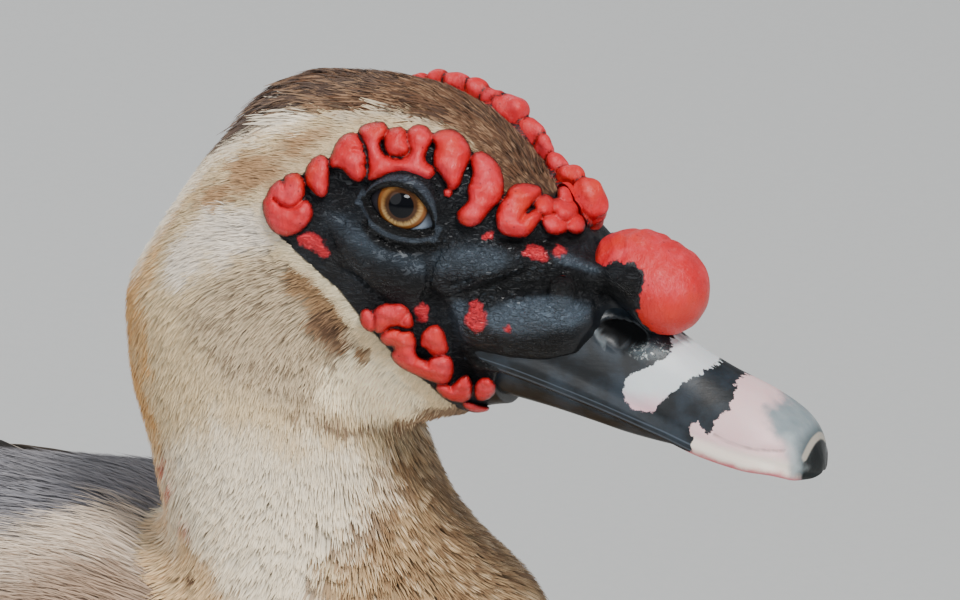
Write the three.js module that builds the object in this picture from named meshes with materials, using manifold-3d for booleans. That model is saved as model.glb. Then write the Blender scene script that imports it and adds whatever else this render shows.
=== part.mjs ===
// A Muscovy drake that stands still, at life size.
// Millimetres. +X is forward, +Y the bird's left, +Z up, and the soles stand at z = 0.
import * as THREE from "three";
import { mergeVertices } from "three/addons/utils/BufferGeometryUtils.js";
import Module from "manifold-3d";

const wasm = await Module();
wasm.setup();

// Driving dimensions
const GAP = 0.3; // clear space between touching nodes
const EYE = new THREE.Vector3(243, 12.4, 333); // centre of the left eyeball
const EYE_RADIUS = 8.4;
const LEG_SPREAD = 46; // from the middle of the body to each foot
const HOCK = new THREE.Vector3(14, 0, 76);
const TOE_JOINT = new THREE.Vector3(38, 0, 15);
const MIDDLE_TOE = 66;
const TAIL_ROOT_X = -172;
const TAIL_FEATHER = 171.4; // length of the middle tail feathers
const FEATHER_THICK = 0.7;

// Half the body's outline at each x: [x, top, bottom, half width]
const BODY = [
  [-268, 199.5, 194.5, 14],
  [-240, 205.5, 186, 24],
  [-215, 211, 176, 31],
  [-190, 216, 164, 36],
  [-165, 221, 148, 42],
  [-130, 228, 122, 53],
  [-90, 237, 102, 67],
  [-40, 245, 88, 79],
  [20, 249, 80, 86],
  [80, 250, 77, 88],
  [140, 253, 80, 86],
  [174, 256, 87, 81],
  [208, 249, 96, 75],
  [245, 237, 108, 65],
  [268, 227, 124, 52],
  [284, 211, 144, 35],
  [293, 194, 160, 16],
];
const BODY_END = 296;
const BODY_BULGE = 2.25; // over 2 makes the section squarer than an ellipse
const WIDEST_AT = 0.52; // share of the height where the body is widest

// The neck's level sections, from the eye: [z, middle x, front to back, side to side]
const NECK = [
  [-136, -50, 80, 66],
  [-116, -42, 74, 60],
  [-103, -30, 57, 50],
  [-96, -22, 44.5, 42],
  [-89, -15.7, 34.5, 36.5],
  [-80, -21.4, 30.4, 33.2],
  [-71, -26.1, 27.8, 30.5],
  [-56, -31, 26.8, 27],
  [-44, -33.6, 27.8, 26],
  [-30, -34.2, 28.2, 25.5],
  [-17, -32.2, 24, 24.3],
  [-8, -29.6, 20.8, 22],
  [0, -27, 17.2, 19],
  [6, -24, 13, 15],
];

// The head at each x, from the eye: [x, top, bottom, half width]
const HEAD = [
  [-54, -15, -25, 6],
  [-51, -9.5, -32, 12],
  [-45, -0.3, -39, 17.5],
  [-39, 7.6, -42.5, 20.6],
  [-32, 14, -45, 22.8],
  [-24, 17.6, -46.5, 23.6],
  [-12, 18.8, -48.5, 23.2],
  [-3, 18.6, -49.5, 21.8],
  [6, 16, -47, 20],
  [14, 11, -44, 18],
  [22, 3, -42.6, 16],
  [30, -5, -41.5, 14],
  [36, -11, -41, 11],
];
const HEAD_WIDEST_AT = 0.5;

// The upper bill at each x, from the eye: [x, ridge, edge, half width]
const BILL = [
  [10, -5, -31, 15],
  [22, -8, -33.5, 14.5],
  [32, -13, -36.6, 13.2],
  [42, -19.5, -39.8, 12.2],
  [51, -25.6, -42.6, 12],
  [60, -30.4, -45.3, 12.8],
  [68, -33.6, -47.8, 13],
  [74, -36.8, -49.8, 11.6],
  [78, -40.2, -51.2, 8.4],
  [80.3, -44.5, -51.4, 4],
];
const GAPE = new THREE.Vector2(19.5, -32.8); // the corner of the mouth, from the eye
const MOUTH_SLOPE = -0.315;
const MOUTH_GAP = 0.5;
const LOWER_BILL_END = 71;

// Solids

// Turns a closed geometry into a solid for joining and cutting.
function solidOf(geometry) {
  const bare = geometry.index ? geometry.toNonIndexed() : geometry.clone();
  bare.deleteAttribute("normal");
  bare.deleteAttribute("uv");
  const merged = mergeVertices(bare, 1e-4);
  const solid = new wasm.Manifold(
    new wasm.Mesh({
      numProp: 3,
      vertProperties: new Float32Array(merged.attributes.position.array),
      triVerts: new Uint32Array(merged.index.array),
    }),
  );
  if (solid.volume() >= 0) return solid;
  const triangles = new Uint32Array(merged.index.array).reverse();
  return new wasm.Manifold(
    new wasm.Mesh({
      numProp: 3,
      vertProperties: new Float32Array(merged.attributes.position.array),
      triVerts: triangles,
    }),
  );
}

// Joins solids, and keeps only the largest closed surface.
function joined(solids) {
  const whole = solids.reduce((sum, next) => sum.add(next));
  return largest(whole);
}

function largest(solid) {
  return solid.decompose().reduce((a, b) => (a.volume() > b.volume() ? a : b));
}

function geometryOf(solid) {
  const mesh = solid.getMesh();
  const places = new Float32Array(mesh.numVert * 3);
  for (let i = 0; i < mesh.numVert; i++) {
    const from = i * mesh.numProp;
    places.set(mesh.vertProperties.subarray(from, from + 3), i * 3);
  }
  const geometry = new THREE.BufferGeometry();
  geometry.setAttribute("position", new THREE.BufferAttribute(places, 3));
  geometry.setIndex(new THREE.BufferAttribute(new Uint32Array(mesh.triVerts), 1));
  geometry.computeVertexNormals();
  return geometry;
}

// Everything on the side that the normal points away from, as far as a large box reaches.
function halfSpace(point, normal) {
  const reach = 900;
  const box = new THREE.BoxGeometry(reach, reach, reach);
  box.translate(0, 0, -reach / 2);
  const turn = new THREE.Quaternion().setFromUnitVectors(
    new THREE.Vector3(0, 0, 1),
    normal.clone().normalize(),
  );
  box.applyQuaternion(turn);
  box.translate(point.x, point.y, point.z);
  return solidOf(box);
}

// Parts a solid at a plane, with the gap between the two pieces.
function parted(solid, point, normal) {
  const step = normal.clone().normalize().multiplyScalar(GAP / 2);
  const behind = solid.intersect(halfSpace(point.clone().sub(step), normal));
  const ahead = solid.subtract(halfSpace(point.clone().add(step), normal));
  return { behind: largest(behind), ahead: largest(ahead) };
}

function mirrored(solid) {
  const geometry = geometryOf(solid);
  geometry.scale(1, -1, 1);
  return solidOf(geometry);
}

// Shapes

// A smooth curve through [x, value] pairs in rising x, with no overshoot between them.
function curveThrough(pairs) {
  const rise = pairs
    .slice(1)
    .map((p, i) => (p[1] - pairs[i][1]) / (p[0] - pairs[i][0]));
  const slope = pairs.map((p, i) => {
    if (i === 0) return rise[0];
    if (i === pairs.length - 1) return rise[i - 1];
    const product = rise[i - 1] * rise[i];
    return product <= 0 ? 0 : (2 * product) / (rise[i - 1] + rise[i]);
  });
  return (x) => {
    const last = pairs.length - 2;
    let i = pairs.findIndex((p) => p[0] > x) - 1;
    if (i < 0) i = x < pairs[0][0] ? 0 : last;
    const width = pairs[i + 1][0] - pairs[i][0];
    const t = THREE.MathUtils.clamp((x - pairs[i][0]) / width, 0, 1);
    const t2 = t * t;
    const t3 = t2 * t;
    return (
      (2 * t3 - 3 * t2 + 1) * pairs[i][1] +
      (t3 - 2 * t2 + t) * width * slope[i] +
      (3 * t2 - 2 * t3) * pairs[i + 1][1] +
      (t3 - t2) * width * slope[i + 1]
    );
  };
}

// One curve for each column after the first of a table of stations.
function curvesOf(table) {
  return table[0].slice(1).map((_, k) => curveThrough(table.map((row) => [row[0], row[k + 1]])));
}

// Signed power, for sections between an ellipse and a box.
function rounded(value, bulge) {
  return Math.sign(value) * Math.abs(value) ** (2 / bulge);
}

// A closed skin through rings with the same number of points each.
function loft(rings) {
  const around = rings[0].length;
  const middle = (ring) =>
    ring.reduce((sum, p) => sum.add(p), new THREE.Vector3()).divideScalar(around);
  const points = [...rings.flat(), middle(rings[0]), middle(rings[rings.length - 1])];
  const faces = [];
  for (let i = 0; i + 1 < rings.length; i++) {
    for (let j = 0; j < around; j++) {
      const a = i * around + j;
      const b = i * around + ((j + 1) % around);
      faces.push(a, b, b + around, a, b + around, a + around);
    }
  }
  const first = rings.length * around;
  const lastRing = (rings.length - 1) * around;
  for (let j = 0; j < around; j++) {
    const next = (j + 1) % around;
    faces.push(first, next, j);
    faces.push(first + 1, lastRing + j, lastRing + next);
  }
  const geometry = new THREE.BufferGeometry().setFromPoints(points);
  geometry.setIndex(faces);
  return solidOf(geometry);
}

// A tube with round sections along a path of [point, radius].
function tube(stations, sides, across = new THREE.Vector3(0, 1, 0)) {
  const rings = stations.map(([point, radius], i) => {
    const before = stations[Math.max(0, i - 1)][0];
    const after = stations[Math.min(stations.length - 1, i + 1)][0];
    const along = after.clone().sub(before).normalize();
    const up = new THREE.Vector3().crossVectors(along, across).normalize();
    const side = new THREE.Vector3().crossVectors(up, along);
    return Array.from({ length: sides }, (_, j) => {
      const angle = (2 * Math.PI * (j + 0.5)) / sides;
      return point
        .clone()
        .addScaledVector(side, radius * Math.cos(angle))
        .addScaledVector(up, radius * Math.sin(angle));
    });
  });
  return loft(rings);
}

// A round lump, squashed to three radii.
function lump(centre, radii, fine = 0) {
  const ball = fine > 0 ? new THREE.IcosahedronGeometry(1, fine) : new THREE.SphereGeometry(1, 8, 6);
  ball.scale(radii.x, radii.y, radii.z);
  ball.translate(centre.x, centre.y, centre.z);
  return solidOf(ball);
}

// A thin blade through stations of {point, across, out, half}, split alike on both faces.
function blade(stations, thickness) {
  const points = [];
  for (const { point, across, out, half } of stations) {
    for (const [side, face] of [[-1, 1], [1, 1], [1, -1], [-1, -1]]) {
      points.push(
        point
          .clone()
          .addScaledVector(across, side * half)
          .addScaledVector(out, (face * thickness) / 2),
      );
    }
  }
  const faces = [0, 3, 2, 0, 2, 1];
  for (let i = 0; i + 1 < stations.length; i++) {
    const [a, b, c, d] = [0, 1, 2, 3].map((k) => 4 * i + k);
    const [e, f, g, h] = [4, 5, 6, 7].map((k) => 4 * i + k);
    faces.push(a, b, f, a, f, e);
    faces.push(d, g, c, d, h, g);
    faces.push(b, c, g, b, g, f);
    faces.push(d, a, e, d, e, h);
  }
  const n = 4 * (stations.length - 1);
  faces.push(n, n + 1, n + 2, n, n + 2, n + 3);
  const geometry = new THREE.BufferGeometry().setFromPoints(points);
  geometry.setIndex(faces);
  return solidOf(geometry);
}

// The width of a feather along its length, as a share of its greatest half width.
// Each step: how far along, and the share of the greatest width and of the greatest height there.
const LONG = [
  [0, 0.6, 0],
  [0.18, 0.85, 0.7],
  [0.68, 1, 0.9],
  [0.92, 0.75, 1],
  [1, 0.28, 0.95],
];
const SHORT = [
  [0, 0.7, 0],
  [0.25, 0.9, 0.8],
  [0.86, 0.85, 1],
  [1, 0.4, 0.95],
];

// The body
const [bodyTop, bodyBottom, bodyHalf] = curvesOf(BODY);

// A point on the body. The angle runs from the top, 0, down the left side to the belly, 180 degrees.
function bodyPoint(x, angle) {
  const top = bodyTop(x);
  const bottom = bodyBottom(x);
  const middle = bottom + WIDEST_AT * (top - bottom);
  const reach = Math.cos(angle) > 0 ? top - middle : middle - bottom;
  return new THREE.Vector3(
    x,
    bodyHalf(x) * rounded(Math.sin(angle), BODY_BULGE),
    middle + reach * rounded(Math.cos(angle), BODY_BULGE),
  );
}

// A point lifted off the body, with the outward direction and the direction down the side.
function offBody(x, angle, lift) {
  const point = bodyPoint(x, angle);
  const down = bodyPoint(x, angle + 0.02).sub(bodyPoint(x, angle - 0.02)).normalize();
  const ahead = bodyPoint(x + 2, angle).sub(bodyPoint(x - 2, angle)).normalize();
  const out = new THREE.Vector3().crossVectors(ahead, down).normalize();
  return { point: point.addScaledVector(out, lift), out, down, ahead };
}

function bodyLoft(grow) {
  const sides = 22;
  const xs = [-266, -258, -240, -212, -180, -140, -95, -45, 10, 65, 120, 165, 200];
  xs.push(230, 254, 272, 285, 292, BODY_END);
  return loft(
    xs.map((x, i) => {
      const end = i === 0 || i === xs.length - 1;
      const middle = bodyPoint(x, Math.PI / 2).setY(0);
      return Array.from({ length: sides }, (_, j) => {
        const angle = (2 * Math.PI * (j + 0.5)) / sides;
        const { point } = offBody(x, angle, grow);
        if (!end) return point.setX(x);
        return middle.clone().lerp(point, 0.35).setX(x + grow * Math.sign(x));
      });
    }),
  );
}

// The neck and head
function fromEye(x, y, z) {
  return new THREE.Vector3(EYE.x + x, y, EYE.z + z);
}

const [neckMiddle, neckDeep, neckWide] = curvesOf(NECK);

function neckLoft() {
  const sides = 20;
  const heights = [-136, -122, -110, -102, -96, -89, -81, -72, -62, -51, -40, -28, -18, -9, 0, 6];
  return loft(
    heights.map((z) =>
      Array.from({ length: sides }, (_, j) => {
        const angle = (2 * Math.PI * (j + 0.5)) / sides;
        const x = neckMiddle(z) + neckDeep(z) * Math.cos(angle);
        return fromEye(x, neckWide(z) * Math.sin(angle), z);
      }),
    ),
  );
}

const [headTop, headBottom, headHalf] = curvesOf(HEAD);

// A point on the head's side at a place seen from the side, from the eye.
function headSide(x, z) {
  const top = headTop(x);
  const bottom = headBottom(x);
  const middle = bottom + HEAD_WIDEST_AT * (top - bottom);
  const reach = z > middle ? top - middle : middle - bottom;
  const height = Math.min(1, Math.abs(z - middle) / reach);
  return headHalf(x) * Math.sqrt(1 - height ** 2);
}

function headLoft(grow) {
  const sides = 18;
  const xs = [-54, -51, -46, -39, -30, -18, -6, 5, 14, 22, 29, 35];
  return loft(
    xs.map((x, i) => {
      const shrink = i === xs.length - 1 ? 0.75 : 1;
      const top = headTop(x);
      const bottom = headBottom(x);
      const middle = bottom + HEAD_WIDEST_AT * (top - bottom);
      const end = i === 0 ? -grow : i === xs.length - 1 ? grow : 0;
      return Array.from({ length: sides }, (_, j) => {
        const angle = (2 * Math.PI * (j + 0.5)) / sides;
        const high = Math.cos(angle) * ((shrink * (top - bottom)) / 2 + grow);
        const wide = Math.sin(angle) * (shrink * headHalf(x) + grow);
        return fromEye(x + end, wide, middle + high);
      });
    }),
  );
}

// The bill
const [billTop, billEdge, billHalf] = curvesOf(BILL);

function mouthLine(x) {
  return GAPE.y + MOUTH_SLOPE * (x - GAPE.x);
}

// The upper bill: a high rounded ridge over flatter sides that flare to the edge.
function upperBillLoft(grow) {
  const xs = [10, 18, 26, 34, 42, 50, 57, 64, 70, 75, 78.5, 80.3];
  const outline = [
    [0, 1],
    [0.36, 0.92],
    [0.66, 0.72],
    [0.88, 0.42],
    [1, 0.14],
    [0.96, 0],
    [0.5, 0.1],
    [0, 0.13],
  ];
  const ring = [...outline, ...outline.slice(1, -1).reverse().map(([y, z]) => [-y, z])];
  return loft(
    xs.map((x) => {
      const high = billTop(x) - billEdge(x);
      const half = billHalf(x);
      return ring.map(([y, z]) => {
        const lift = grow * (z > 0.3 ? 1 : -1);
        return fromEye(x + (x > 79 ? grow : 0), y * (half + grow), billEdge(x) + z * high + lift);
      });
    }),
  );
}

// The lower bill: a shallow tray that narrows to its round tip.
function lowerBillLoft() {
  const sides = 12;
  const xs = [6, 16, 28, 40, 52, 62, 68, LOWER_BILL_END];
  const half = curveThrough([[6, 13], [28, 11], [52, 9.2], [62, 9], [68, 7], [LOWER_BILL_END, 3]]);
  const deep = curveThrough([[6, 11], [28, 6.6], [52, 4], [LOWER_BILL_END, 2]]);
  return loft(
    xs.map((x) =>
      Array.from({ length: sides }, (_, j) => {
        const angle = (2 * Math.PI * (j + 0.5)) / sides;
        const high = Math.cos(angle) > 0 ? 1.5 : deep(x);
        return fromEye(x, Math.sin(angle) * half(x), mouthLine(x) + Math.cos(angle) * high);
      }),
    ),
  );
}

// Caruncles: bulbs that touch their neighbours, each [x, z, half length, half height] from the eye.
const BROW = [
  [-24.6, -3.8, 4, 3.8],
  [-24.2, 2.6, 5, 4.8],
  [-18.6, 7, 5.2, 5],
  [-12.4, 10.4, 4.4, 5.4],
  [-5, 11.2, 5, 5.2],
  [1.8, 10.8, 3.5, 5.6],
  [7.2, 8, 4.2, 5.2],
  [9.8, 1.4, 4, 4.2],
];
const FOREHEAD = [
  [17.4, 3.4, 3.3, 4.6],
  [21, -1.2, 3.1, 3],
  [23.4, 2.6, 3, 3.2],
  [26.8, -1.2, 3.2, 3],
];
const CHEEK = [
  [-7.4, -18.8, 3.1, 2.8],
  [-2.8, -18.6, 3.7, 3.4],
  [-3.8, -24, 3.7, 3.7],
  [1, -27.8, 4.3, 4],
  [5.8, -24.2, 3.5, 3.8],
  [6.4, -31.6, 3.7, 3.5],
  [11, -34.2, 3.9, 3],
];
const BULB_DEPTH = 3.4; // how far a bulb reaches out from its middle

// One row of bulbs on the left side of the face, cut clear of what it lies on.
function rowOf(bulbs, proud, clearOf) {
  const row = bulbs
    .map(([x, z, long, high]) =>
      lump(fromEye(x, headSide(x, z) + proud, z), new THREE.Vector3(long, BULB_DEPTH, high)),
    )
    .reduce((sum, next) => sum.add(next));
  return largest(clearOf.reduce((rest, solid) => rest.subtract(solid), row));
}

// Feathers on the wing. Each tier is a fan of blades set on the body's own side.
const degrees = THREE.MathUtils.degToRad;
const WING_FRONT = 204;
const WING_REAR = -118;
const wingTop = curveThrough([[-118, 34], [0, 28], [100, 28], [160, 38], [204, 60]]);
const wingLow = curveThrough([[-118, 78], [-40, 98], [60, 116], [130, 118], [180, 106], [204, 84]]);
const wingThick = curveThrough([[-118, 4], [-20, 6.5], [80, 9], [150, 11], [190, 9], [204, 3]]);

// How far the wing stands off the body, with the rounded edges left out.
function wingHeight(x, angle) {
  const top = degrees(wingTop(x));
  const low = degrees(wingLow(x));
  const t = THREE.MathUtils.clamp((angle - top) / (low - top), 0.03, 0.92);
  return wingThick(x) * Math.sin(Math.PI * t) ** 0.6 - 1.5;
}

function wingCore() {
  const xs = [WING_REAR, -70, -20, 35, 85, 130, 165, 189, WING_FRONT];
  const over = 8;
  return loft(
    xs.map((x) => {
      const top = degrees(wingTop(x));
      const low = degrees(wingLow(x));
      const outer = Array.from({ length: over }, (_, j) => {
        const t = j / (over - 1);
        const lift = wingThick(x) * Math.sin(Math.PI * t) ** 0.6 - 1.5;
        return offBody(x, top + t * (low - top), lift).point;
      });
      const inner = [0.75, 0.25].map((t) => offBody(x, top + t * (low - top), -9).point);
      return [...outer, ...inner];
    }),
  );
}

// Each tier: how many, root x and angle of the lowest and the highest feather, tip x and angle
// likewise, and how high it lies on the wing.
const TIERS = [
  {
    name: "primaries", count: 4, width: 19, tilt: 8, height: 1.4, steps: LONG,
    root: [[-66, 76], [-74, 50]], tip: [[-190, 61], [-222, 32]],
  },
  {
    name: "secondaries", count: 5, width: 24, tilt: 9, height: 2, steps: LONG,
    root: [[52, 108], [30, 66]], tip: [[-70, 100], [-136, 62]],
  },
  {
    name: "tertials", count: 3, width: 30, tilt: 8, height: 2.8, steps: LONG,
    root: [[40, 64], [46, 48]], tip: [[-156, 54], [-128, 35]],
  },
  {
    name: "greater_coverts", count: 5, width: 22, tilt: 9, height: 2.6, steps: SHORT,
    root: [[100, 110], [84, 54]], tip: [[30, 105], [6, 52]],
  },
  {
    name: "median_coverts", count: 5, width: 23, tilt: 9, height: 3, steps: SHORT,
    root: [[154, 108], [138, 54]], tip: [[86, 105], [64, 50]],
  },
  {
    name: "scapulars", count: 3, width: 28, tilt: 4, height: 0.9, steps: SHORT,
    root: [[162, 60], [154, 46]], tip: [[36, 52], [20, 40]],
  },
];
const ROOT_DEPTH = 3; // how far a feather's root is sunk

function tierBlades({ count, width, tilt, height, steps, root, tip }) {
  return Array.from({ length: count }, (_, i) => {
    const share = i / (count - 1);
    const mix = (pair, k) => THREE.MathUtils.lerp(pair[0][k], pair[1][k], share);
    const stations = steps.map(([s, wide, rise]) => {
      const x = THREE.MathUtils.lerp(mix(root, 0), mix(tip, 0), s);
      const angle = degrees(THREE.MathUtils.lerp(mix(root, 1), mix(tip, 1), s));
      const lift = wingHeight(x, angle) + (rise > 0 ? rise * height : -ROOT_DEPTH);
      const { point, out, down } = offBody(x, angle, lift);
      const lean = degrees(tilt);
      const across = down.clone().multiplyScalar(Math.cos(lean)).addScaledVector(out, Math.sin(lean));
      const face = out.clone().multiplyScalar(Math.cos(lean)).addScaledVector(down, -Math.sin(lean));
      return { point, across, out: face, half: (width / 2) * wide };
    });
    return blade(stations, FEATHER_THICK);
  });
}

// The tail: blades that fan from the rump, the middle pair on top.
const TAIL_PAIRS = 9;
const TAIL_SPREAD = 25; // degrees to the outermost feather
const TAIL_STEP = 1.3; // each pair lies this much below the pair inside it
function tailBlades() {
  const blades = [];
  for (let n = 0; n < 2 * TAIL_PAIRS; n++) {
    const i = n - TAIL_PAIRS + 0.5;
    const share = i / (TAIL_PAIRS - 0.5);
    const turn = degrees(TAIL_SPREAD * share);
    const length = TAIL_FEATHER * (1 - 0.26 * share ** 2);
    const drop = TAIL_STEP * (Math.abs(i) + (i > 0 ? 0.5 : 0));
    const stations = LONG.map(([s, wide]) => {
      const reach = s * length;
      const point = new THREE.Vector3(
        TAIL_ROOT_X + 20 - reach * Math.cos(turn),
        share * 13 + reach * Math.sin(turn),
        202 - drop - reach * 0.055,
      );
      const across = new THREE.Vector3(Math.sin(turn), Math.cos(turn), 0);
      const out = new THREE.Vector3(0, 0, 1);
      return { point, across, out, half: 12 * wide };
    });
    blades.push(blade(stations, FEATHER_THICK));
  }
  return blades;
}

// Coverts above and below the roots of the tail feathers.
function tailCoverts(count, length, spread, start, slope) {
  return Array.from({ length: count }, (_, n) => {
    const share = (2 * n) / (count - 1) - 1;
    const turn = degrees(spread * share);
    const stations = SHORT.map(([s, wide]) => ({
      point: new THREE.Vector3(
        start.x - s * length * Math.cos(turn),
        share * start.y + s * length * Math.sin(turn),
        start.z + slope * s * length - Math.sign(slope + 0.5) * 4 * share ** 2 + 0.5 * (n % 2),
      ),
      across: new THREE.Vector3(Math.sin(turn), Math.cos(turn), 0),
      out: new THREE.Vector3(0, 0, 1),
      half: 8 * wide,
    }));
    return blade(stations, FEATHER_THICK);
  });
}

// The crest: flat tapered locks that lie back from the crown.
function crestLocks(grow) {
  const locks = [];
  const rows = [[0, 24], [-17, 27]];
  for (const [start, length] of rows) {
    for (let i = -1.5; i <= 1.5; i++) {
      const y = i * 5;
      const stations = [0, 0.2, 0.7, 1].map((s, k) => {
        const x = start - s * length;
        const half = headHalf(x);
        const arch = Math.sqrt(Math.max(0.1, 1 - (y / half) ** 2));
        const middle = headBottom(x) + HEAD_WIDEST_AT * (headTop(x) - headBottom(x));
        const z = middle + (headTop(x) - middle) * arch;
        const lift = [-2, 0.3, 0.4, -0.2][k];
        const lean = -y / half;
        return {
          point: fromEye(x, y, z + lift),
          across: new THREE.Vector3(0, Math.cos(lean), Math.sin(lean)),
          out: new THREE.Vector3(0, -Math.sin(lean), Math.cos(lean)),
          half: [2.7, 3.1, 2.4, 0.8][k] + grow,
        };
      });
      locks.push(blade(stations, 1.2 + 2 * grow));
    }
  }
  return locks;
}

// The leg, on the left side
function legPoint(x, y, z) {
  return new THREE.Vector3(x, LEG_SPREAD + y, z);
}

function thigh() {
  return tube(
    [
      [legPoint(HOCK.x + 42, -10, 132), 26],
      [legPoint(HOCK.x + 33, -6, 112), 27],
      [legPoint(HOCK.x + 21, -2, 97), 22],
      [legPoint(HOCK.x + 10, 0, 87), 14.5],
      [legPoint(HOCK.x + 4, 0, 80), 9],
    ],
    12,
  );
}

function shank(grow) {
  const hock = legPoint(HOCK.x, 0, HOCK.z);
  const foot = legPoint(TOE_JOINT.x, 0, TOE_JOINT.z);
  const at = (t) => hock.clone().lerp(foot, t);
  return tube(
    [
      [legPoint(HOCK.x + 3, 0, HOCK.z + 9 + grow), 6.5 + grow],
      [hock, 8 + grow],
      [at(0.16), 6.4 + grow],
      [at(0.5), 5.4 + grow],
      [at(0.85), 6 + grow],
      [at(1.02).setZ(at(1.02).z - grow), 7 + grow],
    ],
    10,
  );
}

// Toes: angle from straight ahead in degrees, length, and root radius.
const TOES = [
  [-24, MIDDLE_TOE * 0.86, 5.6],
  [2, MIDDLE_TOE, 6],
  [27, MIDDLE_TOE * 0.92, 5.6],
];
const FLOOR = halfSpace(new THREE.Vector3(0, 0, 0), new THREE.Vector3(0, 0, 1));

function toePoint(angle, reach, z) {
  const turn = degrees(angle);
  return legPoint(TOE_JOINT.x + reach * Math.cos(turn), reach * Math.sin(turn), z);
}

function claw(angle, from, length, z) {
  return tube(
    [
      [toePoint(angle, from - 2, z), 2.6],
      [toePoint(angle, from + length * 0.8, z - 0.4), 1.2],
      [toePoint(angle, from + length, z - 2), 0.4],
    ],
    4,
  );
}

function foot() {
  const pieces = [];
  for (const [angle, length, radius] of TOES) {
    pieces.push(
      tube(
        [
          [toePoint(angle, -5, 9), radius + 0.6],
          [toePoint(angle, length * 0.14, 6.3), radius + 0.3],
          [toePoint(angle, length * 0.45, 3.8), radius * 0.78],
          [toePoint(angle, length * 0.85, 3), radius * 0.7],
          [toePoint(angle, length, 2.6), radius * 0.4],
        ],
        6,
      ),
    );
    pieces.push(claw(angle, length, 13, 3.6));
  }
  pieces.push(
    tube([[toePoint(180, -2, 9), 5], [toePoint(172, 12, 5.4), 3.6], [toePoint(168, 22, 3), 2.6]], 8),
  );
  pieces.push(claw(168, 21, 8, 3));
  pieces.push(lump(legPoint(TOE_JOINT.x, 0, 10), new THREE.Vector3(9, 8, 9)));
  pieces.push(web(TOES[0], TOES[1]), web(TOES[1], TOES[2]));
  return joined(pieces).subtract(FLOOR);
}

// The web between two toes, with a hollow front edge.
function web([fromAngle, fromLength], [toAngle, toLength]) {
  const outline = new THREE.Shape();
  const at = (angle, reach) => {
    const p = toePoint(angle, reach, 0);
    return new THREE.Vector2(p.x, p.y);
  };
  const start = at(fromAngle, 4);
  const first = at(fromAngle, fromLength * 0.93);
  const second = at(toAngle, toLength * 0.93);
  const hollow = at((fromAngle + toAngle) / 2, Math.min(fromLength, toLength) * 0.74);
  outline.moveTo(start.x, start.y);
  outline.lineTo(first.x, first.y);
  outline.quadraticCurveTo(hollow.x, hollow.y, second.x, second.y);
  outline.lineTo(at(toAngle, 4).x, at(toAngle, 4).y);
  const plate = new THREE.ExtrudeGeometry(outline, {
    depth: 2.6,
    bevelEnabled: false,
    curveSegments: 3,
  });
  plate.translate(0, 0, -0.6);
  return solidOf(plate);
}

// The flesh as one body, parted into its nodes
const body = bodyLoft(0);
const head = headLoft(0);
const upperBill = upperBillLoft(0);
const flesh = joined([body, neckLoft(), head, thigh(), mirrored(thigh())]);

const tailCut = parted(flesh, new THREE.Vector3(TAIL_ROOT_X, 0, 200), new THREE.Vector3(1, 0, 0));
const neckCut = parted(
  tailCut.ahead,
  new THREE.Vector3(228, 0, 238),
  new THREE.Vector3(0.36, 0, 0.93),
);
const midNeckCut = parted(neckCut.ahead, fromEye(-29, 0, -66), new THREE.Vector3(-0.28, 0, 0.96));
const headCut = parted(midNeckCut.ahead, fromEye(-30, 0, -31), new THREE.Vector3(0.6, 0, 0.8));
const faceNormal = new THREE.Vector3(0.72, 0, -0.69);
const facePoint = fromEye(25, 0, -21);
const faceCut = parted(headCut.ahead, facePoint, faceNormal);

// The head keeps its lids, crest and sockets.
function lid(grow) {
  const ring = new THREE.TorusGeometry(8.3, 1.9 + grow, 6, 14);
  ring.scale(1.08, 0.9, 1);
  ring.rotateX(Math.PI / 2);
  const place = fromEye(0.2, headSide(0, 0) - 0.5, 0);
  ring.translate(place.x, place.y, place.z);
  return solidOf(ring);
}

const eyeball = (grow) => lump(EYE, new THREE.Vector3(1, 1, 1).multiplyScalar(EYE_RADIUS + grow), 2);
const headWhole = joined([faceCut.behind, lid(0), mirrored(lid(0)), ...crestLocks(0)]);
const headNode = headWhole
  .subtract(eyeball(GAP))
  .subtract(mirrored(eyeball(GAP)))
  .subtract(midNeckCut.behind)
  .subtract(halfSpace(fromEye(-30, 0, -31), new THREE.Vector3(0.6, 0, 0.8)));

// The bill, cut free of the face and opened along the mouth
const aheadOfFace = (solid) =>
  solid.subtract(halfSpace(facePoint.clone().addScaledVector(faceNormal, GAP / 2), faceNormal));
const mouthNormal = new THREE.Vector3(-MOUTH_SLOPE, 0, 1).normalize();
const mouthPoint = fromEye(GAPE.x, 0, GAPE.y);
const underMouth = halfSpace(mouthPoint, mouthNormal);
const wellUnderMouth = halfSpace(
  mouthPoint.clone().addScaledVector(mouthNormal, -MOUTH_GAP),
  mouthNormal,
);
const nostril = lump(fromEye(42.5, 9.6, -24.4), new THREE.Vector3(4.4, 3.2, 1.9));
const billUpper = joined([
  aheadOfFace(upperBill),
  faceCut.ahead.subtract(underMouth),
])
  .subtract(nostril)
  .subtract(mirrored(nostril));
const billLower = largest(
  joined([aheadOfFace(lowerBillLoft()), faceCut.ahead])
    .intersect(wellUnderMouth)
    .subtract(upperBillLoft(GAP)),
);

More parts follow.
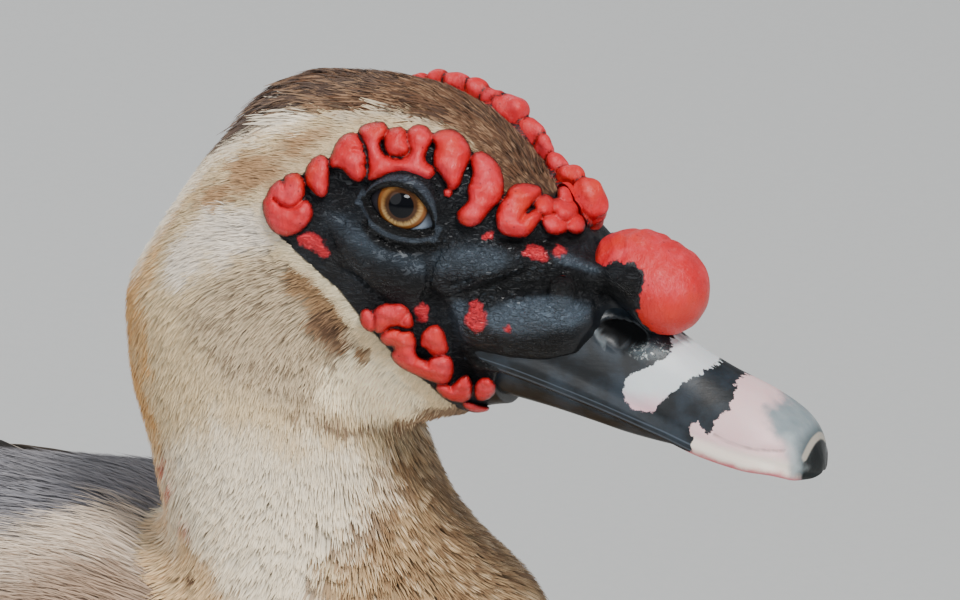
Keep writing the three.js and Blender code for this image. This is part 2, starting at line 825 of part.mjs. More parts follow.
// The caruncles and the knob
const clearOfHead = [headLoft(GAP), eyeball(GAP + 1.2)];
const browRow = rowOf(BROW, 0.4, [...clearOfHead, lid(GAP), ...crestLocks(GAP)]);
const cheekRow = rowOf(CHEEK, -0.4, [...clearOfHead, upperBillLoft(GAP)]);
const knob = joined([
  lump(fromEye(38, 0, -10.5), new THREE.Vector3(7, 8, 5.6), 1),
  lump(fromEye(44.5, 0, -12.5), new THREE.Vector3(8, 9.4, 7.4), 1),
  lump(fromEye(49, 0, -17), new THREE.Vector3(8, 9.6, 8.4), 1),
]);
const forehead = FOREHEAD.map(([x, z, long, high]) =>
  lump(fromEye(x, headSide(x, z), z), new THREE.Vector3(long, BULB_DEPTH, high)),
);
const bridge = [[26.6, 1, 3.4], [30.4, -3, 4], [34, -7.4, 4.6]].map(([x, z, r]) =>
  lump(fromEye(x, 0, z), new THREE.Vector3(r, r * 1.3, r)),
);
const knobNode = largest(
  joined([knob, ...bridge, ...forehead, ...forehead.map(mirrored)])
    .subtract(headLoft(GAP))
    .subtract(upperBillLoft(GAP)),
);

// The wings and the tail
const clearBody = bodyLoft(GAP);
function wing() {
  const blades = TIERS.flatMap(tierBlades);
  return largest(joined([wingCore(), ...blades]).subtract(clearBody));
}
const tail = joined([
  tailCut.behind,
  ...tailBlades(),
  ...tailCoverts(5, 80, 15, new THREE.Vector3(-196, 15, 208.5), -0.075),
  ...tailCoverts(4, 88, 10, new THREE.Vector3(-186, 11, 176), 0.06),
]);
const tailNode = largest(
  tail.intersect(
    halfSpace(new THREE.Vector3(TAIL_ROOT_X - GAP / 2, 0, 200), new THREE.Vector3(1, 0, 0)),
  ),
);
const wingNode = wing();

const legNode = shank(0);
const clearLeg = shank(GAP);
const footNode = largest(foot().subtract(clearLeg));
const torso = largest(neckCut.behind.subtract(clearLeg).subtract(mirrored(clearLeg)));

// Materials
const paint = (colour, roughness) =>
  new THREE.MeshStandardMaterial({ color: colour, roughness, metalness: 0 });
const fawn = paint(0xb7a68c, 0.8);
const slate = paint(0x6f737a, 0.6);
const faceBlack = paint(0x2a2e35, 0.45);
const red = paint(0xd93b33, 0.4);
const amber = paint(0xa8742c, 0.1);
const legSkin = paint(0x5d5a48, 0.55);

const drake = new THREE.Group();
function add(name, solid, material) {
  const mesh = new THREE.Mesh(geometryOf(solid), material);
  mesh.name = name;
  drake.add(mesh);
}
add("torso", torso, fawn);
add("neck_lower", midNeckCut.behind, fawn);
add("neck_upper", headCut.behind, fawn);
add("head", largest(headNode), fawn);
add("bill_upper", largest(billUpper), faceBlack);
add("bill_lower", billLower, faceBlack);
add("knob", knobNode, red);
for (const [side, flip] of [["left", (s) => s], ["right", mirrored]]) {
  add("eye_" + side, flip(eyeball(0)), amber);
  add("brow_caruncles_" + side, flip(browRow), red);
  add("cheek_caruncles_" + side, flip(cheekRow), red);
  add("wing_" + side, flip(wingNode), slate);
  add("shank_" + side, flip(legNode), legSkin);
  add("foot_" + side, flip(footNode), legSkin);
}
add("tail", tailNode, slate);

export default drake;
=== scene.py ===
"""The looks of a Muscovy drake that stands still, at life size.

Everything is worked out in millimetres in the frame's own axes: +X forward, +Y the bird's left, +Z up.
"""

import bpy
import numpy as np
from mathutils import Matrix, Vector


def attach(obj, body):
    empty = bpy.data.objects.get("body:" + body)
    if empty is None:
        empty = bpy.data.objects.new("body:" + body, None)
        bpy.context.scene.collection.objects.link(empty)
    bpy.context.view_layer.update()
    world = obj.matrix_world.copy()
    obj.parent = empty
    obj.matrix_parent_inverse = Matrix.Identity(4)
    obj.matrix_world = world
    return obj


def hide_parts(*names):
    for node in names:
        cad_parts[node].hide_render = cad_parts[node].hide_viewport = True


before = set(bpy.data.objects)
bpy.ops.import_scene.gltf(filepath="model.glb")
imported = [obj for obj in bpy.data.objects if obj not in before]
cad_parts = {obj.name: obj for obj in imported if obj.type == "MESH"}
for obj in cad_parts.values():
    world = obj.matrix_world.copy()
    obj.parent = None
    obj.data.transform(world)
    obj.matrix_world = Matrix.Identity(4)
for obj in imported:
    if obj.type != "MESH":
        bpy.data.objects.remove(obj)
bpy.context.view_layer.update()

MM = 0.001
rng = np.random.default_rng(11)

# Driving dimensions, as in the frame
EYE = np.array([243.0, 0.0, 333.0])
EYE_SIDE = 12.4
EYE_RADIUS = 8.4
LEG_SPREAD = 46.0
HOCK = np.array([14.0, 0.0, 76.0])
TOE_JOINT = np.array([38.0, 0.0, 15.0])
TAIL_FEATHER = 171.4

# The view of the photograph
AZIMUTH = np.radians(22)
ELEVATION = np.radians(20)
PIXELS_PER_MM = 5.2
PHOTO_SIZE = (960, 600)
EYES_IN_PHOTO = (435, 177)  # the middle of the head between the eyes
CAMERA_RIGHT = np.array([np.cos(AZIMUTH), np.sin(AZIMUTH), 0])
CAMERA_BACK = np.array(
    [np.sin(AZIMUTH) * np.cos(ELEVATION), -np.cos(AZIMUTH) * np.cos(ELEVATION), np.sin(ELEVATION)]
)
CAMERA_UP = np.cross(CAMERA_BACK, CAMERA_RIGHT)
CAMERA_FAR = 3.0  # metres from the head to the lens
SENSOR = 36.0

# The body's outline at each x: [x, top, bottom, half width]
BODY = [
    [-268, 199.5, 194.5, 14],
    [-240, 205.5, 186, 24],
    [-215, 211, 176, 31],
    [-190, 216, 164, 36],
    [-165, 221, 148, 42],
    [-130, 228, 122, 53],
    [-90, 237, 102, 67],
    [-40, 245, 88, 79],
    [20, 249, 80, 86],
    [80, 250, 77, 88],
    [140, 253, 80, 86],
    [174, 256, 87, 81],
    [208, 249, 96, 75],
    [245, 237, 108, 65],
    [268, 227, 124, 52],
    [284, 211, 144, 35],
    [293, 194, 160, 16],
    [296.5, 181, 173, 4],
]
BODY_BULGE = 2.25
WIDEST_AT = 0.52

# The neck's level sections, from the eye: [z, middle x, front to back, side to side]
NECK = [
    [-136, -50, 80, 66],
    [-116, -42, 74, 60],
    [-103, -30, 57, 50],
    [-96, -22, 44.5, 42],
    [-89, -15.7, 34.5, 36.5],
    [-80, -21.4, 30.4, 33.2],
    [-71, -26.1, 27.8, 30.5],
    [-56, -31, 26.8, 27],
    [-44, -33.6, 27.8, 26],
    [-30, -34.2, 28.2, 25.5],
    [-17, -32.2, 24, 24.3],
    [-8, -29.6, 20.8, 22],
    [0, -27, 17.2, 19],
    [6, -24, 13, 15],
]

# The head at each x, from the eye: [x, top, bottom, half width]
HEAD = [
    [-54, -15, -25, 6],
    [-51, -9.5, -32, 12],
    [-45, -0.3, -39, 17.5],
    [-39, 7.6, -42.5, 20.6],
    [-32, 14, -45, 22.8],
    [-24, 17.6, -46.5, 23.6],
    [-12, 18.8, -48.5, 23.2],
    [-3, 18.6, -49.5, 21.8],
    [6, 16, -47, 20],
    [14, 11, -44, 18],
    [22, 3, -42.6, 16],
    [30, -5, -41.5, 14],
    [36, -11, -41, 11],
]

# The upper bill at each x, from the eye: [x, ridge, edge, half width]
BILL = [
    [10, -5, -31, 15],
    [22, -8, -33.5, 14.5],
    [32, -13, -36.6, 13.2],
    [42, -19.5, -39.8, 12.2],
    [51, -26.1, -42.6, 12],
    [60, -31.0, -45.1, 12.8],
    [68, -34.2, -46.5, 13],
    [74, -37.4, -47.2, 11.6],
    [78, -40.8, -48.9, 8.4],
    [80.3, -44.5, -50.8, 4],
]
# Half the bill's section: [share of the half width, share of the height above the edge]
BILL_SECTION = [
    [0, 1],
    [0.2, 0.985],
    [0.36, 0.93],
    [0.52, 0.835],
    [0.66, 0.72],
    [0.79, 0.57],
    [0.89, 0.41],
    [0.96, 0.26],
    [1, 0.12],
    [0.985, 0.02],
    [0.93, 0.02],
    [0.7, 0.09],
    [0.35, 0.12],
    [0, 0.13],
]
GAPE = (19.5, -32.8)
MOUTH_SLOPE = -0.315
LOWER_BILL_END = 71


class Curve:
    """A smooth curve through [x, value] pairs in rising x, with no overshoot between them."""

    def __init__(self, pairs):
        x, v = np.array(pairs, float).T
        rise = np.diff(v) / np.diff(x)
        product = rise[:-1] * rise[1:]
        total = np.where(product > 0, rise[:-1] + rise[1:], 1)
        inner = np.where(product > 0, 2 * product / total, 0)
        slope = np.concatenate([rise[:1], inner, rise[-1:]])
        self.x = np.linspace(x[0], x[-1], 1200)
        i = np.clip(np.searchsorted(x, self.x, side="right") - 1, 0, len(x) - 2)
        width = x[i + 1] - x[i]
        t = (self.x - x[i]) / width
        self.v = (
            (2 * t**3 - 3 * t**2 + 1) * v[i]
            + (t**3 - 2 * t**2 + t) * width * slope[i]
            + (3 * t**2 - 2 * t**3) * v[i + 1]
            + (t**3 - t**2) * width * slope[i + 1]
        )

    def __call__(self, x):
        return np.interp(x, self.x, self.v)


def curves_of(table):
    """One curve for each column after the first."""
    return [Curve([(row[0], row[k]) for row in table]) for k in range(1, len(table[0]))]


body_top, body_bottom, body_half = curves_of(BODY)
neck_middle, neck_deep, neck_wide = curves_of(NECK)
head_top, head_bottom, head_half = curves_of(HEAD)
bill_ridge, bill_edge, bill_half = curves_of(BILL)


def smooth_step(low, high, value):
    t = np.clip((value - low) / (high - low), 0, 1)
    return t * t * (3 - 2 * t)


def mix(a, b, t):
    return a + (b - a) * t


def unit(v):
    return v / np.maximum(np.linalg.norm(v, axis=-1, keepdims=True), 1e-9)


def rows_dot(a, b):
    return (a * b).sum(-1, keepdims=True)


# Waves that stand for slow noise, the same on every run
WAVES = unit(rng.normal(size=(9, 3)))
WAVE_SHIFTS = rng.uniform(0, 2 * np.pi, 9)


def slow_noise(points, size):
    """Smooth noise from -1 to 1, with lumps about size millimetres across."""
    total = 0
    for k, (way, shift) in enumerate(zip(WAVES, WAVE_SHIFTS)):
        total = total + np.sin(points @ way * (2 * np.pi / size) * (0.6 + 0.12 * k) + shift)
    return total / 4


# Distance fields: below zero inside the flesh


def smooth_min(a, b, reach):
    h = np.maximum(reach - np.abs(a - b), 0) / reach
    return np.minimum(a, b) - h * h * reach / 4


def from_outline(u, v, share):
    """Distance in a section, where share is 1 on its outline."""
    away = np.hypot(u, v) + 1e-6
    return away - away / np.maximum(share, 1e-6)


def body_section(x):
    """The body's half width, the height where it is widest, and its reach above and below that."""
    top, bottom = body_top(x), body_bottom(x)
    middle = bottom + WIDEST_AT * (top - bottom)
    return body_half(x), middle, top - middle, middle - bottom


def body_field(x, y, z):
    half, middle, above, below = body_section(x)
    rise = z - middle
    reach = np.where(rise > 0, above, below)
    share = ((np.abs(y) / half) ** BODY_BULGE + (np.abs(rise) / reach) ** BODY_BULGE) ** (1 / BODY_BULGE)
    ends = np.maximum(x - BODY[-1][0], BODY[0][0] - x)
    return np.maximum(from_outline(y, rise, share), ends)


def neck_field(x, y, z):
    x, z = x - EYE[0], z - EYE[2]
    middle, deep, wide = neck_middle(z), neck_deep(z), neck_wide(z)
    share = np.hypot((x - middle) / deep, y / wide)
    ends = np.maximum(z - NECK[-1][0], NECK[0][0] - z)
    return np.maximum(from_outline(x - middle, y, share), ends)


def head_field(x, y, z):
    x, z = x - EYE[0], z - EYE[2]
    top, bottom = head_top(x), head_bottom(x)
    share = np.hypot(y / head_half(x), (z - (top + bottom) / 2) / ((top - bottom) / 2))
    ends = np.maximum(x - HEAD[-1][0], HEAD[0][0] - x)
    return np.maximum(from_outline(y, z - (top + bottom) / 2, share), ends)


def chain_field(x, y, z, line, radii):
    """Distance from a chain of points with a radius at each."""
    best = None
    line = np.atleast_2d(np.asarray(line, float))
    radii = np.broadcast_to(np.asarray(radii, float), len(line))
    if len(line) == 1:
        return np.sqrt((x - line[0, 0]) ** 2 + (y - line[0, 1]) ** 2 + (z - line[0, 2]) ** 2) - radii[0]
    for a, b, ra, rb in zip(line[:-1], line[1:], radii[:-1], radii[1:]):
        way = b - a
        t = ((x - a[0]) * way[0] + (y - a[1]) * way[1] + (z - a[2]) * way[2]) / max(way @ way, 1e-9)
        t = np.clip(t, 0, 1)
        away = np.sqrt(
            (x - a[0] - t * way[0]) ** 2 + (y - a[1] - t * way[1]) ** 2 + (z - a[2] - t * way[2]) ** 2
        )
        away = away - (ra + t * (rb - ra))
        best = away if best is None else np.minimum(best, away)
    return best


# The thigh, from inside the flank down to the hock: x and z from the hock, y from the leg, and radius
THIGH = [[42, -10, 132, 26], [33, -6, 112, 27], [21, -2, 97, 22], [10, 0, 87, 14.5], [4, 0, 80, 9]]
THIGH_LINE = [[HOCK[0] + x, LEG_SPREAD + y, z] for x, y, z, r in THIGH]
THIGH_RADII = [r for x, y, z, r in THIGH]


BODY_BLEND = 12
HEAD_BLEND = 3


def flesh_field(x, y, z):
    trunk = smooth_min(body_field(x, y, z), neck_field(x, y, z), BODY_BLEND)
    whole = smooth_min(trunk, head_field(x, y, z), HEAD_BLEND)
    thighs = chain_field(x, np.abs(y), z, THIGH_LINE, THIGH_RADII)
    return smooth_min(whole, thighs, BODY_BLEND)


def sparse_grid(axes):
    return np.meshgrid(*axes, indexing="ij", sparse=True)


def plain_grid(low, high, step):
    """The coordinates of a grid between two corners."""
    return sparse_grid([np.arange(a, b, step) for a, b in zip(low, high)])


def nearest_cells(points, low, step, shape):
    """An index to the places of a grid that are nearest to points."""
    return tuple(np.clip(((points - low) / step).round().astype(int), 0, np.array(shape) - 1).T)


class Field:
    """A distance field kept on a grid and read between its points."""

    def __init__(self, make, low, high, step):
        self.low = np.array(low, float)
        self.step = step
        self.axes = [a + step * np.arange(int(np.ceil((b - a) / step)) + 1) for a, b in zip(low, high)]
        self.high = np.array([axis[-1] for axis in self.axes])
        values = make(*sparse_grid(self.axes))
        slope = np.sqrt(sum(g * g for g in np.gradient(values, step)))
        self.values = values / np.clip(slope, 0.5, 3)

    def __call__(self, points):
        shape = self.values.shape
        q = (points - self.low) / self.step
        i = np.clip(np.floor(q).astype(np.int64), 0, np.array(shape) - 2)
        f = np.clip(q - i, 0, 1)
        flat = self.values.ravel()
        base = (i[..., 0] * shape[1] + i[..., 1]) * shape[2] + i[..., 2]
        total = 0
        for dx in (0, 1):
            wx = f[..., 0] if dx else 1 - f[..., 0]
            for dy in (0, 1):
                wy = f[..., 1] if dy else 1 - f[..., 1]
                row = base + (dx * shape[1] + dy) * shape[2]
                total = total + wx * wy * (flat[row] * (1 - f[..., 2]) + flat[row + 1] * f[..., 2])
        return total

    def holds(self, points):
        margin = 2 * self.step
        return ((points > self.low + margin) & (points < self.high - margin)).all(-1)


BODY_STEP = 3.0
HEAD_STEP = 1.25
HEAD_LOW = EYE + (-64, -40, -112)
HEAD_HIGH = EYE + (46, 40, 30)
BODY_LOW, BODY_HIGH = (-290, -106, 62), (312, 106, 366)
wide_flesh = Field(flesh_field, BODY_LOW, BODY_HIGH, BODY_STEP)
near_flesh = Field(flesh_field, HEAD_LOW, HEAD_HIGH, HEAD_STEP)


def flesh(points):
    """How far points are outside the flesh."""
    value = wide_flesh(points)
    near = near_flesh.holds(points)
    value[near] = near_flesh(points[near])
    return value


CORNERS = np.array([[1, -1, -1], [-1, -1, 1], [-1, 1, -1], [1, 1, 1]], float)


def outward(points):
    """The direction straight out of the flesh."""
    reach = 1.6
    return unit(sum(corner * flesh(points + reach * corner)[..., None] for corner in CORNERS))


def set_at(points, level):
    """Moves points to a height above the flesh, and says which way is out there."""
    for _ in range(2):
        out = outward(points)
        points = points - (flesh(points) - level)[..., None] * out
    return points, out


# Places seen from the side and in the photograph


def from_eye(points):
    """How far ahead of the eye and above it points lie."""
    return points[:, 0] - EYE[0], points[:, 2] - EYE[2]


def sight(pixels):
    """Points on the photograph's plane through the head, in millimetres."""
    u, v = np.atleast_2d(np.asarray(pixels, float)).T
    right = (u - EYES_IN_PHOTO[0]) / PIXELS_PER_MM
    up = (EYES_IN_PHOTO[1] - v) / PIXELS_PER_MM
    return EYE + right[:, None] * CAMERA_RIGHT + up[:, None] * CAMERA_UP


LOOK_FROM = 60  # how far ahead of the head's middle a look into the photograph starts
LOOK_TO = -30  # where a look that meets nothing has gone past the head
MISSED_AT = -4  # the place that such a look gets instead


def on_flesh(pixels):
    """The points of the flesh that show at these pixels of the photograph."""
    points = sight(pixels) + LOOK_FROM * CAMERA_BACK
    missed = sight(pixels) + MISSED_AT * CAMERA_BACK
    for _ in range(60):
        points = points - (0.8 * flesh(points))[:, None] * CAMERA_BACK
        points = np.where(((points - EYE) @ CAMERA_BACK < LOOK_TO)[:, None], missed, points)
    return points


def seen_beside(width, pixels):
    """The [x, z] from the eye of pixels seen on a side whose half width at x, z is given."""
    plane = sight(pixels) - EYE
    right, up = plane @ CAMERA_RIGHT, plane @ CAMERA_UP
    side = np.full(len(plane), 10.0)
    for _ in range(40):
        x = (right + CAMERA_RIGHT[1] * side) / CAMERA_RIGHT[0]
        z = (up - CAMERA_UP[0] * x + CAMERA_UP[1] * side) / CAMERA_UP[2]
        side = 0.7 * side + 0.3 * width(x, z)
    return np.stack([x, z], 1)


def in_photo(plane):
    """Where places given from the eyes show in the photograph."""
    u = EYES_IN_PHOTO[0] + PIXELS_PER_MM * plane @ CAMERA_RIGHT
    return u, EYES_IN_PHOTO[1] - PIXELS_PER_MM * plane @ CAMERA_UP


def photo_place(points):
    """Where the right side's points, or the left side's mirrored ones, show in the photograph."""
    near = points * (1, -1, 1)
    return in_photo(np.where(points[:, 1:2] > 0, near, points) - EYE)


def polygon_distance(x, z, outline):
    """Distance from a closed outline in the side view, above zero inside it."""
    best = np.full(np.broadcast(x, z).shape, 1e9)
    inside = np.zeros(best.shape, bool)
    for (ax, az), (bx, bz) in zip(outline, np.roll(outline, -1, axis=0)):
        wx, wz = bx - ax, bz - az
        t = np.clip(((x - ax) * wx + (z - az) * wz) / (wx * wx + wz * wz + 1e-9), 0, 1)
        best = np.minimum(best, np.hypot(x - ax - t * wx, z - az - t * wz))
        crosses = (az > z) != (bz > z)
        inside ^= crosses & (x < (z - az) / (wz + (abs(wz) < 1e-9)) * wx + ax)
    return np.where(inside, best, -best)


def line_distance(u, v, line):
    best = 1e9
    for (ax, ay), (bx, by) in zip(line[:-1], line[1:]):
        wx, wy = bx - ax, by - ay
        t = np.clip(((u - ax) * wx + (v - ay) * wy) / (wx * wx + wy * wy), 0, 1)
        best = np.minimum(best, np.hypot(u - ax - t * wx, v - ay - t * wy))
    return best / PIXELS_PER_MM


def rounded(outline):
    """A closed outline with its corners cut."""
    outline = np.asarray(outline, float)
    for share in (0.2, 0.25):
        ahead = np.roll(outline, -1, axis=0)
        pair = [mix(outline, ahead, share), mix(outline, ahead, 1 - share)]
        outline = np.stack(pair, 1).reshape(-1, 2)
    return outline


def picture_distance(points, outline):
    """How far inside an outline of the photograph points show, in millimetres."""
    u, v = photo_place(points)
    return polygon_distance(u, v, outline) / PIXELS_PER_MM


# Meshes


def net_of(values, low, step):
    """The zero surface of a grid of distances, as points and quads."""
    solid = values < 0
    n = np.array(values.shape)
    corners = [np.array([i, j, k]) for i in (0, 1) for j in (0, 1) for k in (0, 1)]
    count = sum(
        solid[c[0] : n[0] - 1 + c[0], c[1] : n[1] - 1 + c[1], c[2] : n[2] - 1 + c[2]].astype(np.int8)
        for c in corners
    )
    mixed = (count > 0) & (count < 8)
    index = np.full(mixed.shape, -1, np.int64)
    cells = np.argwhere(mixed)
    index[mixed] = np.arange(len(cells))
    at = [values[tuple((cells + c).T)] for c in corners]
    place = np.zeros((len(cells), 3))
    crossings = np.zeros(len(cells))
    for a in range(8):
        for b in range(a + 1, 8):
            if np.abs(corners[a] - corners[b]).sum() != 1:
                continue
            cross = (at[a] < 0) != (at[b] < 0)
            t = at[a] / np.where(cross, at[a] - at[b], 1)
            spot = corners[a] + t[:, None] * (corners[b] - corners[a])
            place += np.where(cross[:, None], spot, 0)
            crossings += cross
    points = np.array(low) + step * (cells + place / crossings[:, None])
    quads = []
    for axis in range(3):
        one, two = [k for k in range(3) if k != axis]
        here = [slice(1, n[k] - 1) for k in range(3)]
        here[axis] = slice(0, n[axis] - 1)
        ahead = list(here)
        ahead[axis] = slice(1, n[axis])
        first, second = solid[tuple(here)], solid[tuple(ahead)]
        places = np.argwhere(first != second) + [1 if k != axis else 0 for k in range(3)]
        leaving = first[first != second]
        step_one = np.eye(3, dtype=int)[one]
        step_two = np.eye(3, dtype=int)[two]
        ring = [places, places - step_one, places - step_one - step_two, places - step_two]
        quad = np.stack([index[tuple(c.T)] for c in ring], 1)
        flip = leaving if axis != 1 else ~leaving
        quads.append(np.where(flip[:, None], quad, quad[:, ::-1]))
    return points, np.concatenate(quads)


def grid_quads(rows, columns, wrap=False, start=0):
    """Quads over a grid of points, closed round its columns where wrap is set."""
    i, j = np.meshgrid(np.arange(rows - 1), np.arange(columns if wrap else columns - 1), indexing="ij")
    k = (j + 1) % columns
    return start + np.stack(
        [i * columns + j, i * columns + k, (i + 1) * columns + k, (i + 1) * columns + j], -1
    ).reshape(-1, 4)


def many_grids(count, rows, columns):
    """Quads over count grids of points that follow each other."""
    quads = grid_quads(rows, columns)
    return (quads[None] + (rows * columns * np.arange(count))[:, None, None]).reshape(-1, 4)


def piece(name, points, quads, material, replaces=(), slot=None, caps=(), **attributes):
    """A mesh object from points in millimetres. Caps are rings of point numbers that are closed."""
    mesh = bpy.data.meshes.new(name)
    mesh.vertices.add(len(points))
    mesh.vertices.foreach_set("co", (np.asarray(points, np.float32) * MM).ravel())
    corners = [np.asarray(quads).ravel()] + [np.asarray(ring) for ring in caps]
    sizes = np.concatenate([np.full(len(quads), 4), [len(ring) for ring in caps]]).astype(int)
    starts = np.concatenate([[0], np.cumsum(sizes)[:-1]])
    mesh.loops.add(int(sizes.sum()))
    mesh.loops.foreach_set("vertex_index", np.concatenate(corners).astype(np.int32))
    mesh.polygons.add(len(sizes))
    mesh.polygons.foreach_set("loop_start", starts.astype(np.int32))
    mesh.polygons.foreach_set("use_smooth", np.ones(len(sizes), bool))
    for key, values in attributes.items():
        values = np.asarray(values, np.float32)
        if key == "bake":
            layer = mesh.uv_layers.new(name="OFBake")
            layer.uv.foreach_set("vector", values[np.concatenate(corners)].ravel())
        elif key == "tint":
            layer = mesh.attributes.new(key, "FLOAT_COLOR", "POINT")
            layer.data.foreach_set("color", np.c_[values, np.ones(len(values))].astype(np.float32).ravel())
        elif values.ndim == 2:
            mesh.attributes.new(key, "FLOAT_VECTOR", "POINT").data.foreach_set("vector", values.ravel())
        else:
            mesh.attributes.new(key, "FLOAT", "POINT").data.foreach_set("value", values)
    mesh.update(calc_edges=True)
    mesh.validate()
    mesh.materials.append(material)
    thing = bpy.data.objects.new(name, mesh)
    bpy.context.scene.collection.objects.link(thing)
    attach(thing, "root")
    if replaces:
        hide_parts(*replaces)
    return thing


# The bare face and what is carved and raised on it, by the pixels where the photograph shows it
FACE_PIXELS = [
    (553, 197), (508, 192), (500, 168), (472, 142), (430, 132), (385, 131), (354, 138), (342, 146),
    (332, 158), (318, 162), (307, 172), (292, 178), (276, 187), (267, 206), (276, 232), (300, 255),
    (340, 290), (365, 322), (388, 348), (430, 385), (452, 404), (480, 414),
]
FACE_FRONT = [(24, -43), (58, -46), (58, 14), (30, 4)]  # from the eye, past the bill's root
CREASES = {
    # line in pixels, half width and depth in millimetres
    "tear line": ([(437, 238), (440, 248), (432, 264), (428, 285), (430, 298)], 0.75, 1.2),
    "cheek groove": ([(430, 297), (441, 309), (450, 324), (456, 341), (459, 360), (468, 378)], 1.5, 3.0),
    "roll above": ([(452, 301), (478, 291), (505, 281), (530, 273)], 1.0, 1.4),
    "roll top": ([(505, 290), (525, 288), (544, 288)], 1.5, 1.1),
    "roll below": ([(466, 348), (483, 357), (510, 363), (545, 365), (580, 361)], 1.3, 1.6),
    "under the eye": ([(362, 212), (372, 230), (390, 245), (412, 251), (434, 249)], 0.8, 1.0),
    "under the brow": ([(340, 184), (366, 184), (384, 178), (402, 176), (424, 180), (438, 190)], 0.7, 0.8),
    "behind the eye 1": ([(366, 193), (350, 190), (332, 182)], 0.5, 0.7),
    "behind the eye 2": ([(362, 201), (343, 202), (322, 200)], 0.5, 0.7),
    "behind the eye 3": ([(362, 210), (345, 214), (330, 212)], 0.5, 0.6),
    "long fold 1": ([(336, 212), (356, 240), (382, 266), (404, 290)], 0.55, 0.6),
    "long fold 2": ([(322, 222), (343, 255), (368, 286), (386, 301)], 0.55, 0.6),
    "long fold 3": ([(350, 208), (372, 236), (400, 262), (424, 280)], 0.55, 0.5),
    "long fold 4": ([(342, 268), (360, 276), (378, 290), (392, 300)], 0.5, 0.5),
    "lore 1": ([(446, 246), (462, 262), (470, 282)], 0.6, 0.6),
    "lore 2": ([(458, 238), (485, 250), (520, 262)], 0.6, 0.55),
    "lore 3": ([(452, 285), (475, 278), (505, 262)], 0.6, 0.6),
    "lore 4": ([(440, 215), (452, 225), (470, 232)], 0.5, 0.55),
    "lore 5": ([(436, 262), (452, 268), (480, 272)], 0.5, 0.4),
    "brow foot": ([(500, 240), (530, 242), (560, 240), (582, 236)], 0.9, 0.8),
    "knob foot": ([(594, 232), (600, 248), (604, 264)], 0.9, 0.8),
    "roll fold 1": ([(476, 336), (500, 322), (540, 309), (575, 304)], 0.5, 0.35),
    "roll fold 2": ([(470, 322), (495, 305), (540, 297)], 0.5, 0.4),
}
SWELLS = {
    # line in pixels, radius and rise in millimetres
    "mouth roll": ([(474, 326), (505, 318), (535, 313), (560, 315)], 5.0, 2.4),
    "mouth roll's end": ([(540, 314), (565, 316), (588, 324)], 4.2, 1.0),
    "cheek": ([(362, 246), (388, 272), (410, 286)], 6, 1.9),
    "upper ridge": ([(553, 258), (576, 265), (598, 275)], 3.2, 1.7),
    "lore": ([(452, 262), (480, 264), (505, 258)], 4.6, 1.6),
    "jaw": ([(436, 314), (448, 346)], 3.2, 1.0),
    "lower lid bag": ([(374, 226), (390, 239), (412, 245), (432, 242)], 2.2, 0.9),
}
FACE_LIGHT_AND_SHADE = [
    # how much painted light there is on the raised folds, or painted shade in the creases and under things
    # where it is below 0, with the softness and the outline
    (0.95, 1.8, [
        (476, 318), (500, 304), (535, 296), (565, 298), (590, 308), (580, 326), (540, 332), (495, 334)]),
    (0.55, 1.2, [(450, 306), (462, 298), (470, 304), (462, 330), (470, 344), (456, 336)]),
    (0.45, 2.0, [
        (325, 215), (345, 212), (372, 238), (405, 256), (428, 262), (420, 274), (380, 262), (345, 240)]),
    (0.5, 1.6, [(432, 252), (470, 246), (510, 250), (505, 268), (470, 276), (436, 274)]),
    (0.6, 1.0, [(553, 252), (575, 256), (600, 268), (596, 276), (570, 268), (553, 262)]),
    (-1.0, 1.6, [(462, 346), (500, 348), (560, 344), (598, 342), (600, 364), (500, 370), (466, 372)]),
    (-1.0, 1.8, [
        (452, 297), (500, 276), (540, 266), (600, 280), (640, 290), (640, 300), (560, 290), (500, 291)]),
    (-0.8, 1.8, [(372, 278), (400, 282), (440, 280), (448, 300), (430, 302), (400, 298), (384, 296)]),
    (-1.0, 0.8, [
        (366, 218), (380, 236), (402, 244), (430, 242), (442, 240), (438, 250), (406, 252), (380, 246),
        (364, 228)]),
    (-1.0, 1.0, [(495, 384), (532, 384), (532, 414), (495, 414)]),
    (-0.8, 0.8, [(497, 238), (540, 242), (584, 234), (584, 242), (540, 248), (500, 246)]),
]
PEBBLED = [
    # where the skin is finely pebbled
    [(432, 240), (500, 244), (560, 262), (540, 275), (470, 290), (432, 284)],
    [(452, 300), (500, 292), (560, 300), (570, 330), (520, 342), (462, 342)],
]
RED_PATCHES = [
    [(296, 238), (305, 232), (318, 235), (326, 244), (330, 255), (325, 259), (315, 250), (303, 246)],
    [(415, 307), (422, 304), (428, 306), (429, 314), (426, 321), (419, 321), (415, 314)],
    [
        (464, 316), (469, 310), (470, 304), (477, 300), (483, 305), (487, 321), (483, 330), (475, 332),
        (468, 326),
    ],
    [(505, 328), (509, 325), (511, 331), (507, 333)],
    [(521, 255), (526, 247), (533, 245), (541, 247), (549, 260), (543, 264), (533, 258)],
    [(551, 251), (558, 246), (566, 249), (560, 257), (553, 257)],
    [(482, 238), (487, 232), (493, 234), (490, 240)],
]
